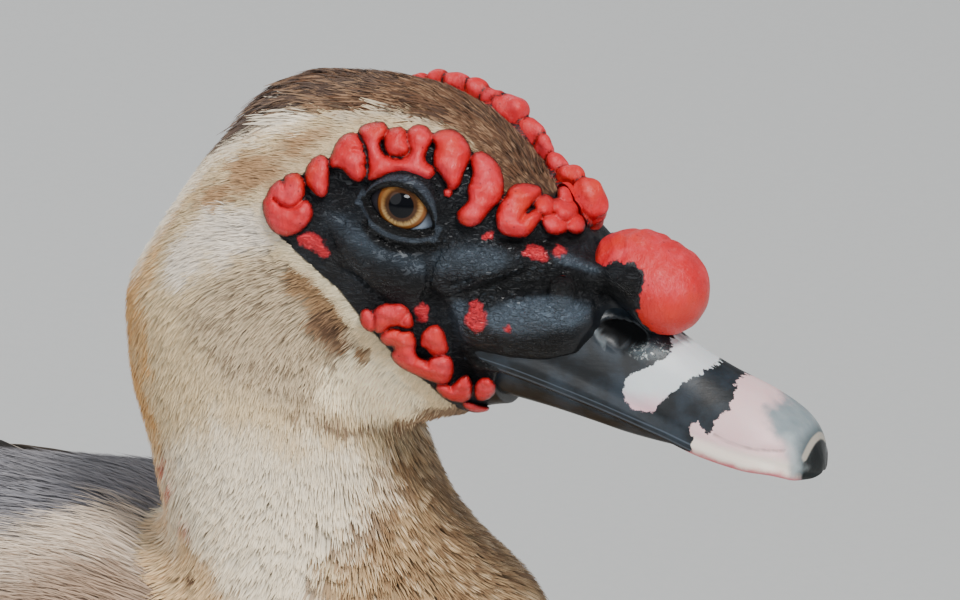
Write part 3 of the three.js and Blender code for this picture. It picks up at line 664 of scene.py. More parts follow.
PADS = [
    # the caruncles' outlines, each with how far it stands off the skin, in millimetres
    (3.4, [
        (284, 182), (286, 177), (293, 174), (300, 175), (305, 184), (304, 198), (311, 205), (313, 213),
        (310, 222), (303, 229), (295, 234), (285, 236), (276, 232), (269, 224), (265, 212), (264, 203),
        (269, 195), (272, 187), (280, 181)]),
    (2.9, [
        (306, 175), (309, 166), (315, 159), (321, 156), (328, 159), (329, 175), (328, 190), (325, 197),
        (320, 197), (313, 190), (308, 184)]),
    (3.6, [
        (331, 160), (334, 154), (336, 147), (342, 138), (350, 134), (357, 135), (362, 143), (366, 152),
        (367, 170), (365, 178), (360, 182), (352, 179), (345, 170), (338, 167), (332, 168)]),
    (3.3, [
        (359, 131), (365, 126), (374, 124), (383, 123), (388, 129), (386, 135), (381, 140), (379, 147),
        (383, 155), (390, 159), (399, 160), (407, 158), (412, 151), (409, 143), (408, 135), (411, 129),
        (418, 126), (427, 128), (432, 136), (431, 143), (427, 150), (424, 157), (426, 164), (433, 168),
        (435, 175), (428, 181), (418, 178), (409, 175), (400, 173), (391, 174), (383, 178), (373, 180),
        (367, 180), (369, 165), (368, 153), (364, 142)]),
    (3.1, [
        (386, 135), (391, 130), (400, 128), (406, 132), (407, 143), (410, 151), (405, 156), (397, 157),
        (389, 155), (385, 147)]),
    (3.7, [
        (431, 137), (440, 132), (447, 131), (455, 132), (463, 138), (469, 147), (470, 156), (467, 165),
        (463, 174), (460, 184), (455, 190), (449, 189), (446, 181), (440, 173), (434, 164), (435, 154),
        (437, 146)]),
    (1.4, [(444, 192), (449, 189), (453, 193), (449, 198), (445, 196)]),
    (3.6, [
        (471, 160), (474, 155), (480, 153), (486, 155), (493, 160), (499, 168), (502, 178), (503, 190),
        (501, 199), (494, 206), (487, 213), (481, 222), (472, 227), (463, 225), (458, 219), (458, 213),
        (464, 207), (470, 201), (468, 191), (471, 182), (474, 175)]),
    (3.6, [
        (508, 191), (516, 185), (530, 185), (540, 188), (541, 194), (535, 199), (530, 206), (525, 213),
        (533, 210), (541, 214), (539, 220), (534, 228), (527, 236), (516, 237), (505, 235), (498, 229),
        (496, 217), (500, 205), (507, 197)]),
    (2.9, [(536, 204), (540, 198), (547, 197), (553, 203), (554, 209), (549, 215), (541, 213), (536, 209)]),
    (2.9, [(559, 192), (562, 186), (568, 183), (574, 186), (576, 193), (573, 201), (566, 202), (560, 199)]),
    (3.3, [
        (553, 203), (559, 200), (566, 203), (573, 202), (577, 208), (575, 216), (569, 221), (561, 220),
        (556, 214)]),
    (2.4, [(543, 221), (548, 216), (555, 215), (560, 220), (566, 223), (565, 230), (557, 233), (549, 232)]),
    (2.6, [(568, 222), (573, 216), (579, 216), (583, 223), (581, 231), (574, 232), (568, 228)]),
    (2.2, [(361, 318), (362, 312), (367, 309), (372, 312), (375, 319), (374, 331), (368, 330), (363, 325)]),
    (2.9, [
        (374, 312), (379, 307), (387, 304), (393, 305), (401, 304), (408, 309), (412, 317), (413, 328),
        (405, 329), (397, 326), (390, 326), (386, 331), (378, 333), (374, 327), (376, 319)]),
    (3.2, [
        (380, 337), (387, 331), (394, 329), (404, 331), (412, 332), (416, 341), (414, 351), (418, 358),
        (425, 360), (434, 357), (444, 355), (451, 358), (453, 368), (451, 379), (444, 384), (434, 381),
        (421, 376), (410, 371), (399, 365), (391, 355), (396, 350), (394, 345), (385, 344)]),
    (3.2, [
        (421, 340), (423, 333), (429, 327), (437, 325), (443, 331), (446, 341), (448, 351), (440, 355),
        (432, 354), (427, 348), (422, 346)]),
    (2.8, [
        (436, 387), (441, 384), (449, 386), (455, 384), (461, 378), (468, 376), (471, 384), (471, 397),
        (463, 402), (452, 400), (443, 396)]),
    (2.6, [(476, 384), (481, 379), (489, 378), (495, 386), (494, 393), (487, 399), (478, 400), (475, 393)]),
    (1.3, [(462, 404), (470, 403), (479, 407), (489, 408), (488, 412), (478, 413), (468, 410)]),
]
CRACKS = [
    # lines cut into the caruncles, with their depth in millimetres
    (1.7, [(305, 199), (298, 206), (290, 208), (281, 205), (275, 199)]),
    (1.1, [(290, 209), (288, 219)]),
    (1.1, [(284, 181), (284, 189)]),
    (0.8, [(354, 150), (364, 152)]),
    (0.9, [(362, 166), (369, 168), (368, 178)]),
    (0.5, [(396, 160), (408, 160), (412, 152)]),
    (1.2, [(533, 209), (525, 214), (521, 221)]),
    (0.7, [(472, 184), (480, 187)]),
    (0.9, [(428, 359), (427, 366)]),
    (1.0, [(399, 327), (405, 330), (413, 329)]),
    (0.7, [(403, 320), (408, 313)]),
    (0.8, [(451, 385), (452, 391)]),
    (0.8, [(362, 138), (367, 152), (368, 166)]),
]
# The far row that shows over the crown: its two ends, reach to the left side and radius in millimetres
FAR_ROW = [
    ((414, 79), (424, 78), 13.2, 1.1), ((433, 77), (443, 76), 12.8, 1.45),
    ((451, 80), (464, 82), 12.4, 1.65), ((474, 86), (480, 89), 12.0, 1.8),
    ((488, 96), (497, 98), 11.6, 1.75), ((502, 108), (515, 110), 10.9, 2.75),
    ((528, 128), (536, 134), 9.8, 2.15), ((543, 142), (547, 150), 8.6, 1.6),
    ((555, 162), (559, 168), 6.6, 1.85), ((566, 174), (576, 175), 4.8, 1.75),
    ((587, 193), (592, 205), 3.6, 3.1),
]


def side_width(x, z):
    """How far the head or neck reaches sideways at a place seen from the side, from the eye."""
    middle = (head_top(x) + head_bottom(x)) / 2
    high = np.clip(np.abs(z - middle) / (head_top(x) - middle), 0, 1)
    head = head_half(x) * np.sqrt(1 - high**2) * ((x > HEAD[0][0]) & (x < HEAD[-1][0]))
    deep = np.clip(np.abs(x - neck_middle(z)) / neck_deep(z), 0, 1)
    neck = neck_wide(z) * np.sqrt(1 - deep**2) * (z < NECK[-1][0])
    return np.maximum(head, neck)


face_outline = np.concatenate([seen_beside(side_width, FACE_PIXELS), FACE_FRONT])


def face_distance(x, z):
    """How far inside the bare face a place is, seen from the side, from the eye."""
    return polygon_distance(x, z, face_outline)


HEAD_COAT = 2.2  # how far the skin lies inside the coat
NECK_COAT = 3.4
BODY_COAT = 7.0


def coat_depth(x, z):
    """The coat's depth at a place seen from the side."""
    x, z = x - EYE[0], z - EYE[2]
    depth = HEAD_COAT * smooth_step(0, 5, -face_distance(x, z))
    depth = mix(depth, NECK_COAT, smooth_step(-48, -72, z))
    return mix(depth, BODY_COAT, smooth_step(-84, -118, z))


bill_outline = np.array(BILL_SECTION, float) - (0, 0.4)
bill_angles = np.arctan2(bill_outline[:, 0], bill_outline[:, 1])
bill_reach = np.hypot(*bill_outline.T)


def bill_field(x, y, z):
    x, z = x - EYE[0], z - EYE[2]
    high = bill_ridge(x) - bill_edge(x)
    u, v = np.abs(y) / bill_half(x), (z - bill_edge(x)) / high - 0.4
    share = np.hypot(u, v) / np.interp(np.arctan2(u, v), bill_angles, bill_reach)
    ends = np.maximum(x - BILL[-1][0], BILL[0][0] - x)
    return np.maximum(from_outline(y, v * high, share), ends)


FAR_AWAY = 50.0


class SideGrid:
    """Distances on a fine grid over the bird's right side, mirrored when they are meshed."""

    def __init__(self, low, high, step):
        self.step = step
        self.axes = [
            np.arange(low[0], high[0], step),
            -step * np.arange(int(-low[1] / step) + 1)[::-1],
            np.arange(low[2], high[2], step),
        ]
        self.low = np.array([axis[0] for axis in self.axes])
        self.values = np.full([len(axis) for axis in self.axes], FAR_AWAY)

    def space(self):
        return sparse_grid(self.axes)

    def near(self, line, reach):
        """The part of the grid round a line, and its coordinates."""
        low, high = line.min(0) - reach, line.max(0) + reach
        part = tuple(
            slice(*np.searchsorted(axis, (a, b))) for axis, a, b in zip(self.axes, low, high)
        )
        axes = [axis[s] for axis, s in zip(self.axes, part)]
        return part, sparse_grid(axes)

    def mesh(self, both=True):
        return net_of(self.whole() if both else self.values, self.low, self.step)

    def whole(self):
        """The distances on both sides of the bird."""
        return np.concatenate([self.values, self.values[:, -2::-1]], 1)


def grid_in_photo(space):
    """Where the places of a grid show in the photograph."""
    x, y, z = (axis - centre for axis, centre in zip(space, EYE))
    u = EYES_IN_PHOTO[0] + PIXELS_PER_MM * (x * CAMERA_RIGHT[0] + y * CAMERA_RIGHT[1] + 0 * z)
    v = EYES_IN_PHOTO[1] - PIXELS_PER_MM * (x * CAMERA_UP[0] + y * CAMERA_UP[1] + z * CAMERA_UP[2])
    return u, v


def spaced_distance(space, outline):
    """How far inside an outline of the photograph the places of a grid show, in millimetres."""
    return polygon_distance(*grid_in_photo(space), outline) / PIXELS_PER_MM


# The lids: an opening that is round above and flatter below, leaning down to the front
BALL = EYE + (0, -EYE_SIDE, 0)
LID_CORNERS = np.array([(-6.7, 1.2), (7.0, -4.2)])
LID_RISE = 6.9
LID_SINK = 2.4
LID_OUTER = 9.5
lid_middle = LID_CORNERS.mean(0)
lid_half = np.linalg.norm(LID_CORNERS[1] - LID_CORNERS[0]) / 2
lid_way = (LID_CORNERS[1] - LID_CORNERS[0]) / (2 * lid_half)
lid_rise_way = np.array([-lid_way[1], lid_way[0]])


def lid_edges(s):
    """The upper and lower lid's height over the line between the corners."""
    bow = np.clip(1 - (s / lid_half) ** 2, 0, 1)
    return LID_RISE * bow**0.62, -LID_SINK * bow**0.75


def lid_opening(x, z):
    """Distance from the opening between the lids, below zero inside it."""
    dx, dz = x - BALL[0] - lid_middle[0], z - BALL[2] - lid_middle[1]
    s = dx * lid_way[0] + dz * lid_way[1]
    n = dx * lid_rise_way[0] + dz * lid_rise_way[1]
    upper, lower = lid_edges(s)
    across = np.abs(n - (upper + lower) / 2) - (upper - lower) / 2
    return np.maximum(0.85 * across, np.abs(s) - lid_half)


def lid_line(count, reach):
    """Points round the opening, on a ball of the given radius about the eyeball's middle."""
    turn = np.linspace(0, 2 * np.pi, count)
    s = lid_half * np.cos(turn)
    upper, lower = lid_edges(s)
    n = np.where(np.sin(turn) >= 0, upper, lower)
    flat = lid_middle + s[:, None] * lid_way + n[:, None] * lid_rise_way
    side = np.sqrt(np.maximum(reach**2 - (flat**2).sum(1), 3.0))
    return BALL + np.stack([flat[:, 0], -side, flat[:, 1]], 1)


# Where the leathery skin ends on the bill, from the eye, seen from the side
SLEEVE = [
    (-60, 60), (47, 60), (47, -16.5), (41.5, -17.6), (37.2, -19.4), (35.2, -23), (33.5, -27), (29, -28.8),
    (19, -31.2), (6, -60), (-60, -60),
]
FACE_STEP = 0.48
FACE_LOW, FACE_HIGH = EYE + (-62, -28, -60), EYE + (55, 0, 25)
HEAD_SKIN_BOTTOM = EYE[2] - 57

KNOB = [
    # [x, z, radii] of the knob's swellings, from the eye
    [39.0, -11.4, 5.6, 7.0, 5.2],
    [43.4, -13.0, 7.4, 8.8, 7.3],
    [48.6, -16.7, 7.4, 9.6, 8.4],
]
KNOB_DARK = [
    (540, 264), (596, 264), (607, 264), (613, 259), (628, 259), (640, 263), (647, 269), (649, 280),
    (645, 290), (645, 303), (640, 308), (645, 320), (652, 329), (655, 338), (600, 350), (540, 300),
]
knob_dark = seen_beside(lambda a, b: 6.0 + 0 * a, KNOB_DARK)
KNOB_LOBES = [(607, 253), (613, 243)]
KNOB_LOBE_RADII = (1.9, 2.2)
knob_lobes = on_flesh(KNOB_LOBES)


def knob_field(x, y, z):
    """Distance from the knob on the bill's root, with the small lobes behind it."""
    values = None
    for kx, kz, long, wide, deep in KNOB:
        share = np.sqrt(((x - EYE[0] - kx) / long) ** 2 + (y / wide) ** 2 + ((z - EYE[2] - kz) / deep) ** 2)
        one = (share - 1) * min(long, wide, deep)
        values = one if values is None else smooth_min(values, one, 2.6)
    for lobe, radius in zip(knob_lobes, KNOB_LOBE_RADII):
        for side in (1, -1):
            one = chain_field(x, y, z, [lobe * (1, side, 1)], radius)
            values = smooth_min(values, one, 0.8)
    return values


def head_grid():
    """The head's skin with its lids, folds and swellings."""
    grid = SideGrid(FACE_LOW, FACE_HIGH, FACE_STEP)
    x, y, z = grid.space()
    side_x, side_z = x[:, 0, :], z[:, 0, :]
    inner = polygon_distance(side_x - EYE[0], side_z - EYE[2], SLEEVE)[:, None, :]
    sleeve = bill_field(x, y, z) - np.interp(inner, [-3, 0, 1.5, 7], [-1.6, 0.0, 0.14, 0.6])
    bare = smooth_min(head_field(x, y, z), neck_field(x, y, z), HEAD_BLEND)
    bare = np.maximum(bare, np.minimum(-inner, x - EYE[0] - 17))
    values = smooth_min(bare, sleeve, 2.5)
    on_knob = polygon_distance(side_x - EYE[0], side_z - EYE[2], knob_dark)[:, None, :]
    root = knob_field(x, y, z) + mix(1.6, -0.3, smooth_step(-0.9, 0.9, on_knob))
    values = smooth_min(values, root, 2.2)
    slope = np.sqrt(sum(g * g for g in np.gradient(values, FACE_STEP)))
    values = values / np.clip(slope, 0.6, 3)
    values = values + coat_depth(side_x, side_z)[:, None, :]
    grid.values = values
    for pixels, wide, deep in CREASES.values():
        line = on_flesh(pixels)
        part, space = grid.near(line, 4 * wide)
        away = chain_field(*space, line, 0)
        values[part] += 1.35 * deep * np.exp(-((away / (0.9 * wide)) ** 2))
    for pixels, radius, rise in SWELLS.values():
        line = on_flesh(pixels)
        part, space = grid.near(line, 1.3 * radius)
        away = np.clip(chain_field(*space, line, 0) / (1.25 * radius), 0, 1)
        values[part] -= rise * (1 - away**2) ** 2
    for outline in RED_PATCHES:
        part, space = grid.near(on_flesh(outline), 3)
        inside = spaced_distance(space, rounded(outline))
        values[part] -= 0.35 * smooth_step(-0.5, 0.8, inside)
    part, space = grid.near(BALL[None], 17)
    local = values[part]
    away = np.sqrt((space[0] - BALL[0]) ** 2 + (space[1] - BALL[1]) ** 2 + (space[2] - BALL[2]) ** 2)
    local = smooth_min(local, away - LID_OUTER, 1.8)
    rim = chain_field(*space, lid_line(40, EYE_RADIUS + 0.55), 0.95)
    gap = lid_opening(space[0], space[2])
    front = space[1] - BALL[1] + 1
    local = -smooth_min(-local, np.maximum(gap, front), 0.5)
    rings = sum(deep * np.exp(-(((gap - far) / 0.42) ** 2)) for far, deep in ((2.1, 0.45), (3.6, 0.35)))
    local = smooth_min(local + rings, rim, 0.5)
    local = np.maximum(local, EYE_RADIUS + 0.12 - away)
    values[part] = local
    grid.values = np.maximum(values, HEAD_SKIN_BOTTOM - z)
    return grid


TRUNK_STEP = 4.0
TRUNK_TOP = EYE[2] - 50
TRUNK_LOW, TRUNK_HIGH = (-290, -100, 62), (312, 100, EYE[2] - 44)


def trunk_skin():
    """The skin of the body and lower neck, which ends inside the head."""
    def lowered(x, y, z):
        sink = coat_depth(x[:, 0, :], z[:, 0, :])[:, None, :]
        inner = smooth_step(-62, -52, z - EYE[2])
        return flesh_field(x, y, z) + sink + inner

    field = Field(lowered, TRUNK_LOW, TRUNK_HIGH, TRUNK_STEP)
    values = np.maximum(field.values, (field.axes[2] - TRUNK_TOP)[None, None, :])
    return net_of(values, field.low, field.step)


# Materials


def rgb(red, green, blue):
    """A colour from 0 to 255 as a screen shows it, in linear light."""
    c = np.array([red, green, blue]) / 255
    return np.where(c <= 0.04045, c / 12.92, ((c + 0.055) / 1.055) ** 2.4)


class Paint:
    """A node material under construction. Positions in it are in millimetres."""

    def __init__(self, name, **sockets):
        self.material = bpy.data.materials.new(name)
        self.material.use_nodes = True
        self.tree = self.material.node_tree
        self.shader = self.tree.nodes["Principled BSDF"]
        for key, value in sockets.items():
            self.shader.inputs[key.replace("_", " ")].default_value = value
        self.place = self.stretched(self.node("TexCoord").outputs["Object"], (1 / MM, 1 / MM, 1 / MM))

    def node(self, kind, inputs=None, **settings):
        node = self.tree.nodes.new("ShaderNode" + kind)
        for key, value in settings.items():
            setattr(node, key, value)
        for key, value in (inputs or {}).items():
            socket = node.inputs[key]
            if isinstance(value, bpy.types.NodeSocket):
                self.tree.links.new(value, socket)
            elif socket.type == "RGBA" and not np.isscalar(value):
                socket.default_value = (*value, 1)
            else:
                socket.default_value = value
        return node

    def attribute(self, name, output="Fac"):
        return self.node("Attribute", attribute_name=name).outputs[output]

    def parts(self, vector):
        return self.node("SeparateXYZ", {0: vector}).outputs

    def math(self, operation, *values):
        return self.node("Math", dict(enumerate(values)), operation=operation).outputs[0]

    def times(self, a, b):
        return self.math("MULTIPLY", a, b)

    def plus(self, a, b):
        return self.math("ADD", a, b)

    def minus(self, a, b):
        return self.math("SUBTRACT", a, b)

    def about_zero(self, noise, amount):
        """Noise moved to lie about zero, times amount."""
        return self.times(self.minus(noise, 0.5), amount)

    def stretched(self, vector, scale):
        return self.node("VectorMath", {0: vector, 1: scale}, operation="MULTIPLY").outputs[0]

    def where(self, vector, stretch):
        vector = vector or self.place
        return self.stretched(vector, stretch) if stretch else vector

    def noise(self, size, detail=3.0, rough=0.55, vector=None, stretch=None, distort=0.0):
        """Noise from 0 to 1 with lumps about size millimetres across."""
        inputs = {"Vector": self.where(vector, stretch), "Scale": 1 / size, "Detail": detail}
        inputs |= {"Roughness": rough, "Distortion": distort}
        return self.node("TexNoise", inputs).outputs["Fac"]

    def cells(self, size, feature="F1", stretch=None):
        """The distance in cells about size millimetres across."""
        inputs = {"Vector": self.where(None, stretch), "Scale": 1 / size}
        return self.node("TexVoronoi", inputs, feature=feature).outputs["Distance"]

    def step(self, value, low, high):
        """A smooth change from 0 at low to 1 at high."""
        inputs = {"Value": value, "From Min": low, "From Max": high, "To Min": 0.0, "To Max": 1.0}
        return self.node("MapRange", inputs, interpolation_type="SMOOTHSTEP").outputs[0]

    def between(self, low, high, value):
        """Low where value is 0 and high where it is 1."""
        return self.node("MapRange", {"Value": value, "To Min": low, "To Max": high}).outputs[0]

    def blend(self, amount, a, b, kind="MIX"):
        return self.node("MixRGB", {"Fac": amount, "Color1": a, "Color2": b}, blend_type=kind).outputs[0]

    def layer(self, colour, tint, amount, share=None):
        """A tint over a colour, as far as amount says, times share."""
        return self.blend(amount if share is None else self.times(amount, share), colour, tint)

    def bump(self, height, strength, distance, before=None):
        """A bump whose full height is distance millimetres."""
        inputs = {"Height": height, "Strength": strength, "Distance": distance * MM}
        if before:
            inputs["Normal"] = before
        return self.node("Bump", inputs).outputs[0]

    def set(self, **sockets):
        for key, value in sockets.items():
            self.tree.links.new(value, self.shader.inputs[key.replace("_", " ")])
        return self.material


FACE_DARK = rgb(16, 18, 22)
# Painted light on the face's raised folds
FACE_LIT = rgb(76, 88, 100)
# Painted shade for the face's creases, the places under things and the nostril's pit
PAINTED_SHADE = rgb(9, 10, 12)
RED = rgb(208, 24, 34)
RED_DEEP = rgb(160, 16, 16)
RED_PALE = rgb(222, 60, 72)
RED_ORANGE = rgb(212, 48, 26)


def skin_material():
    """Bare leathery face with painted light on its raised folds and painted shade in its creases, and skin
    in the coat's own colours, darkened as painted shade, below the feathers.
    """
    paint = Paint("skin", Subsurface_Weight=0.02, Specular_IOR_Level=0.34)
    bare = paint.step(paint.attribute("bare"), -0.35, 0.2)
    patch = paint.plus(paint.attribute("patch"), paint.about_zero(paint.noise(1.3, 4), 2.2))
    mottle = paint.noise(6, 5)
    # tone: painted light on the raised folds above 0 and painted shade in the creases and under things below
    # 0, with random mottle
    tone = paint.plus(paint.attribute("tone"), paint.about_zero(mottle, 0.8))
    leather = paint.blend(paint.step(tone, -0.1, 1.0), FACE_DARK, FACE_LIT)
    # painted shade in the creases and under things
    leather = paint.layer(leather, PAINTED_SHADE, paint.step(tone, 0.0, -0.8))
    cracks = paint.cells(1.25, feature="DISTANCE_TO_EDGE", stretch=(0.8, 1.0, 1.35))
    pebble = paint.attribute("pebble")
    # painted highlight on the tops of the pebbles
    crown = paint.times(paint.step(cracks, 0.12, 0.4), paint.times(pebble, 0.28))
    leather = paint.layer(leather, rgb(92, 102, 112), crown)
    lid = paint.attribute("lid")
    # painted highlight along the lids' rims, then painted shade in the gap between the lids and the eyeball
    rim = paint.times(paint.step(lid, 0.35, 0.7), paint.step(lid, 1.5, 1.1))
    leather = paint.layer(leather, rgb(74, 84, 96), rim, 0.55)
    leather = paint.layer(leather, rgb(6, 7, 9), paint.step(lid, 0.45, 0.25))
    red = paint.blend(paint.noise(1.0, 4), RED, RED_PALE)
    leather = paint.layer(leather, red, paint.step(patch, -0.45, 0.45))
    colour = paint.layer(paint.attribute("tint", "Color"), leather, bare)
    wrinkle = paint.noise(2.6, 6, 0.6, stretch=(0.8, 1.0, 1.9), distort=1.4)
    ridges = paint.math("ABSOLUTE", paint.minus(wrinkle, 0.5))
    near_edge = paint.step(paint.attribute("edge"), -0.5, 3.0)
    normal = paint.bump(paint.times(paint.step(ridges, 0.0, 0.1), near_edge), 0.8, 0.45)
    normal = paint.bump(paint.times(paint.step(cracks, 0.0, 0.25), pebble), 0.8, 0.3, normal)
    normal = paint.bump(paint.noise(0.5, 3), 0.25, 0.06, normal)
    return paint.set(Base_Color=colour, Roughness=paint.between(0.34, 0.5, mottle), Normal=normal)


def caruncle_material():
    """Wet-looking red flesh, with painted shade that is deeper red in its creases and dark where it meets
    the skin.
    """
    paint = Paint("caruncle", Subsurface_Weight=0.12, Subsurface_Scale=0.001,
                  Subsurface_Radius=(1.0, 0.25, 0.15), Specular_IOR_Level=0.45)
    colour = paint.blend(paint.step(paint.noise(4.5, 3), 0.4, 0.75), RED, RED_PALE)
    colour = paint.layer(colour, RED_ORANGE, paint.step(paint.noise(8, 2), 0.5, 0.75), 0.7)
    lines = paint.noise(1.1, 5, 0.65, stretch=(1.8, 1.0, 0.8), distort=0.6)
    colour = paint.layer(colour, RED_DEEP, paint.step(lines, 0.5, 0.75), 0.45)
    colour = paint.layer(colour, rgb(232, 104, 104), paint.step(paint.noise(1.6, 4, 0.6), 0.55, 0.72), 0.35)
    # painted shade, deeper red and then near black, in the creases and where the flesh meets the skin
    edge = paint.plus(paint.attribute("rim"), paint.about_zero(paint.noise(0.9, 4, 0.6), 0.9))
    colour = paint.layer(colour, RED_DEEP, paint.step(edge, 1.0, 0.15))
    colour = paint.layer(colour, rgb(44, 16, 20), paint.step(edge, 0.3, 0.05))
    colour = paint.layer(colour, rgb(206, 44, 20), paint.step(paint.attribute("low"), 0.05, 0.7), 0.6)
    colour = paint.layer(colour, rgb(84, 22, 28), paint.step(paint.cells(2.6), 0.11, 0.05), 0.55)
    dark = paint.plus(paint.attribute("dark"), paint.times(paint.noise(1.4, 4), 2.6))
    colour = paint.layer(colour, FACE_DARK, paint.step(dark, 1.15, 1.55))
    normal = paint.bump(lines, 0.8, 0.3)
    normal = paint.bump(paint.noise(0.45, 3), 0.45, 0.12, normal)
    return paint.set(Base_Color=colour, Roughness=paint.between(0.34, 0.52, lines), Normal=normal)


def bill_material():
    """Horn in bands: black, white, black, then pink, with a grey and black nail."""
    paint = Paint("bill", Subsurface_Weight=0.08, Subsurface_Scale=0.001, Specular_IOR_Level=0.36)
    ragged = paint.about_zero(paint.noise(1.1, 5, 0.65), 2.2)
    soft = paint.about_zero(paint.noise(3, 3), 2.0)

    def area(name, edge, low=-0.12, high=0.12):
        return paint.step(paint.plus(paint.attribute(name), edge), low, high)

    cloud = paint.noise(6, 4)
    black = paint.blend(paint.step(cloud, 0.35, 0.7), rgb(14, 17, 20), rgb(38, 47, 56))
    height = paint.attribute("tomium")
    # painted highlights along two ridges above the cutting edge
    for middle, wide in ((2.35, 0.32), (1.2, 0.22)):
        near = paint.math("ABSOLUTE", paint.minus(height, middle))
        black = paint.layer(black, rgb(82, 92, 104), paint.step(near, wide, 0.3 * wide), 0.6)
    white = paint.blend(cloud, rgb(216, 222, 224), rgb(196, 204, 208))
    white = paint.layer(white, rgb(222, 178, 186), area("band_low", soft, -1.0, 3.5))
    pink = paint.blend(cloud, rgb(232, 208, 206), rgb(230, 180, 184))
    pink = paint.layer(pink, rgb(224, 168, 180), area("ridge", soft, 0.3, 2.6))
    pink = paint.layer(pink, rgb(236, 222, 208), paint.step(height, -1.2, 0.8))
    pink = paint.layer(pink, rgb(214, 116, 126), area("lip", soft, -0.9, 0.9))
    nail = paint.blend(paint.noise(3, 4, stretch=(0.6, 2, 1.4)), rgb(112, 126, 132), rgb(150, 160, 164))
    nail = paint.layer(nail, rgb(70, 80, 84), paint.step(paint.attribute("nail_dark"), -2.2, 1.0))
    in_pink = area("pink", ragged)
    colour = paint.layer(paint.layer(black, white, area("white", ragged)), pink, in_pink)
    groove = paint.times(paint.step(paint.attribute("groove"), 0.45, 0.1), in_pink)
    colour = paint.layer(colour, rgb(150, 128, 124), groove, 0.6)
    colour = paint.layer(colour, nail, area("nail", soft, -0.9, 0.9))
    colour = paint.layer(colour, rgb(172, 164, 152), area("nail_edge", 0.0, -0.15, 0.15))
    colour = paint.layer(colour, rgb(15, 19, 20), area("nail_tip", 0.0, -0.15, 0.15))
    colour = paint.layer(colour, rgb(190, 200, 202), area("nail_pale", soft, -1.2, 1.2), 0.7)
    crust = paint.attribute("crust")
    colour = paint.layer(colour, rgb(72, 84, 90), crust, 0.6)
    crust = paint.times(crust, paint.step(paint.noise(0.8, 5, 0.65), 0.52, 0.62))
    colour = paint.layer(colour, rgb(176, 184, 184), crust)
    colour = paint.layer(colour, rgb(92, 98, 102), area("streak", paint.times(soft, 0.3), -0.25, 0.35))
    nostril = paint.attribute("nostril")
    # painted shade in the nostril's pit
    colour = paint.layer(colour, PAINTED_SHADE, nostril)
    scratches = paint.noise(1.2, 5, 0.6, stretch=(0.35, 1, 1.4))
    normal = paint.bump(scratches, 0.35, 0.12)
    normal = paint.bump(paint.noise(0.4, 3), 0.3, 0.04, normal)
    normal = paint.bump(crust, 0.6, 0.3, normal)
    rough = paint.math("MAXIMUM", paint.between(0.34, 0.5, scratches), nostril)
    return paint.set(Base_Color=colour, Roughness=rough, Normal=normal)


# The bill


def ring_along(xs, section, ridge, edge, half):
    """Rings of points of a section, both sides, at each x from the eye."""
    ring = np.concatenate([section, section[-2:0:-1] * (-1, 1)])
    high = (ridge(xs) - edge(xs))[:, None]
    y = half(xs)[:, None] * ring[None, :, 0]
    z = edge(xs)[:, None] + high * ring[None, :, 1]
    return np.stack([np.broadcast_to(xs[:, None], y.shape), y, z], -1)


def smooth_section(section, count):
    """The same outline through more points, evenly spread."""
    section = np.array(section, float)
    along = np.concatenate([[0], np.cumsum(np.hypot(*np.diff(section, axis=0).T))])
    fine = np.linspace(0, along[-1], count)
    return np.stack([Curve(np.c_[along, section[:, k]])(fine) for k in (0, 1)], 1)


WHITE_BAND = [
    (671, 337), (690, 326), (706, 344), (719, 356), (717, 365), (705, 368), (701, 373), (690, 377),
    (686, 381), (678, 384), (676, 389), (668, 394), (660, 401), (655, 408), (651, 412), (640, 412),
    (630, 408), (624, 402), (622, 392), (624, 382), (628, 376), (634, 371), (642, 368), (652, 364),
    (660, 361), (668, 355), (671, 350),
]
BAND_MIDDLE = [(650, 392)]
PINK_AREA = [
    (738, 370), (734, 382), (737, 386), (734, 392), (732, 399), (728, 404), (730, 409), (721, 411),
    (721, 415), (713, 419), (711, 426), (712, 431), (705, 433), (700, 427), (696, 421), (689, 424),
    (687, 430), (692, 437), (690, 444), (692, 451), (684, 450), (690, 458), (700, 480), (780, 510),
    (870, 510), (870, 430), (800, 370),
]
NAIL_AREA = [
    (763, 404), (772, 401), (785, 402), (800, 408), (814, 420), (840, 440), (840, 500), (800, 500),
    (795, 478), (789, 474), (790, 462), (786, 450), (780, 440), (773, 434), (767, 424), (763, 412),
]
NAIL_TIP = [
    (821, 433), (840, 440), (840, 500), (800, 500), (799, 472), (800, 462), (803, 461), (810, 447),
    (817, 437),
]
NAIL_EDGE = [(823, 429), (818, 436), (811, 445), (804, 459), (801, 464), (799, 457), (804, 446), (812, 435)]
NAIL_PALE = [(784, 434), (790, 436), (796, 450), (797, 470), (791, 474), (789, 460)]
RIDGE_GREY = [(738, 374), (760, 374), (815, 412), (770, 412), (757, 392), (748, 384)]
NOSTRIL = np.array([(622, 333)])
NOSTRIL_LONG = 4.7
NOSTRIL_HIGH = 2.0
NOSTRIL_TILT = np.radians(-19)
NOSTRIL_DEEP = 5.2
CRUST_AREA = [(628, 350), (640, 342), (655, 341), (666, 345), (669, 353), (656, 359), (640, 360)]
STREAK = [(587, 316), (597, 326), (607, 341), (604, 350), (597, 340)]
GROOVE_LINE = [(712, 434), (725, 441), (740, 446), (755, 449), (782, 450)]
BILL_AREAS = {
    "white": WHITE_BAND, "pink": PINK_AREA, "ridge": RIDGE_GREY, "nail": NAIL_AREA, "nail_edge": NAIL_EDGE,
    "nail_tip": NAIL_TIP, "nail_pale": NAIL_PALE, "streak": STREAK,
}
LOWER_PINK_FROM = 55.0


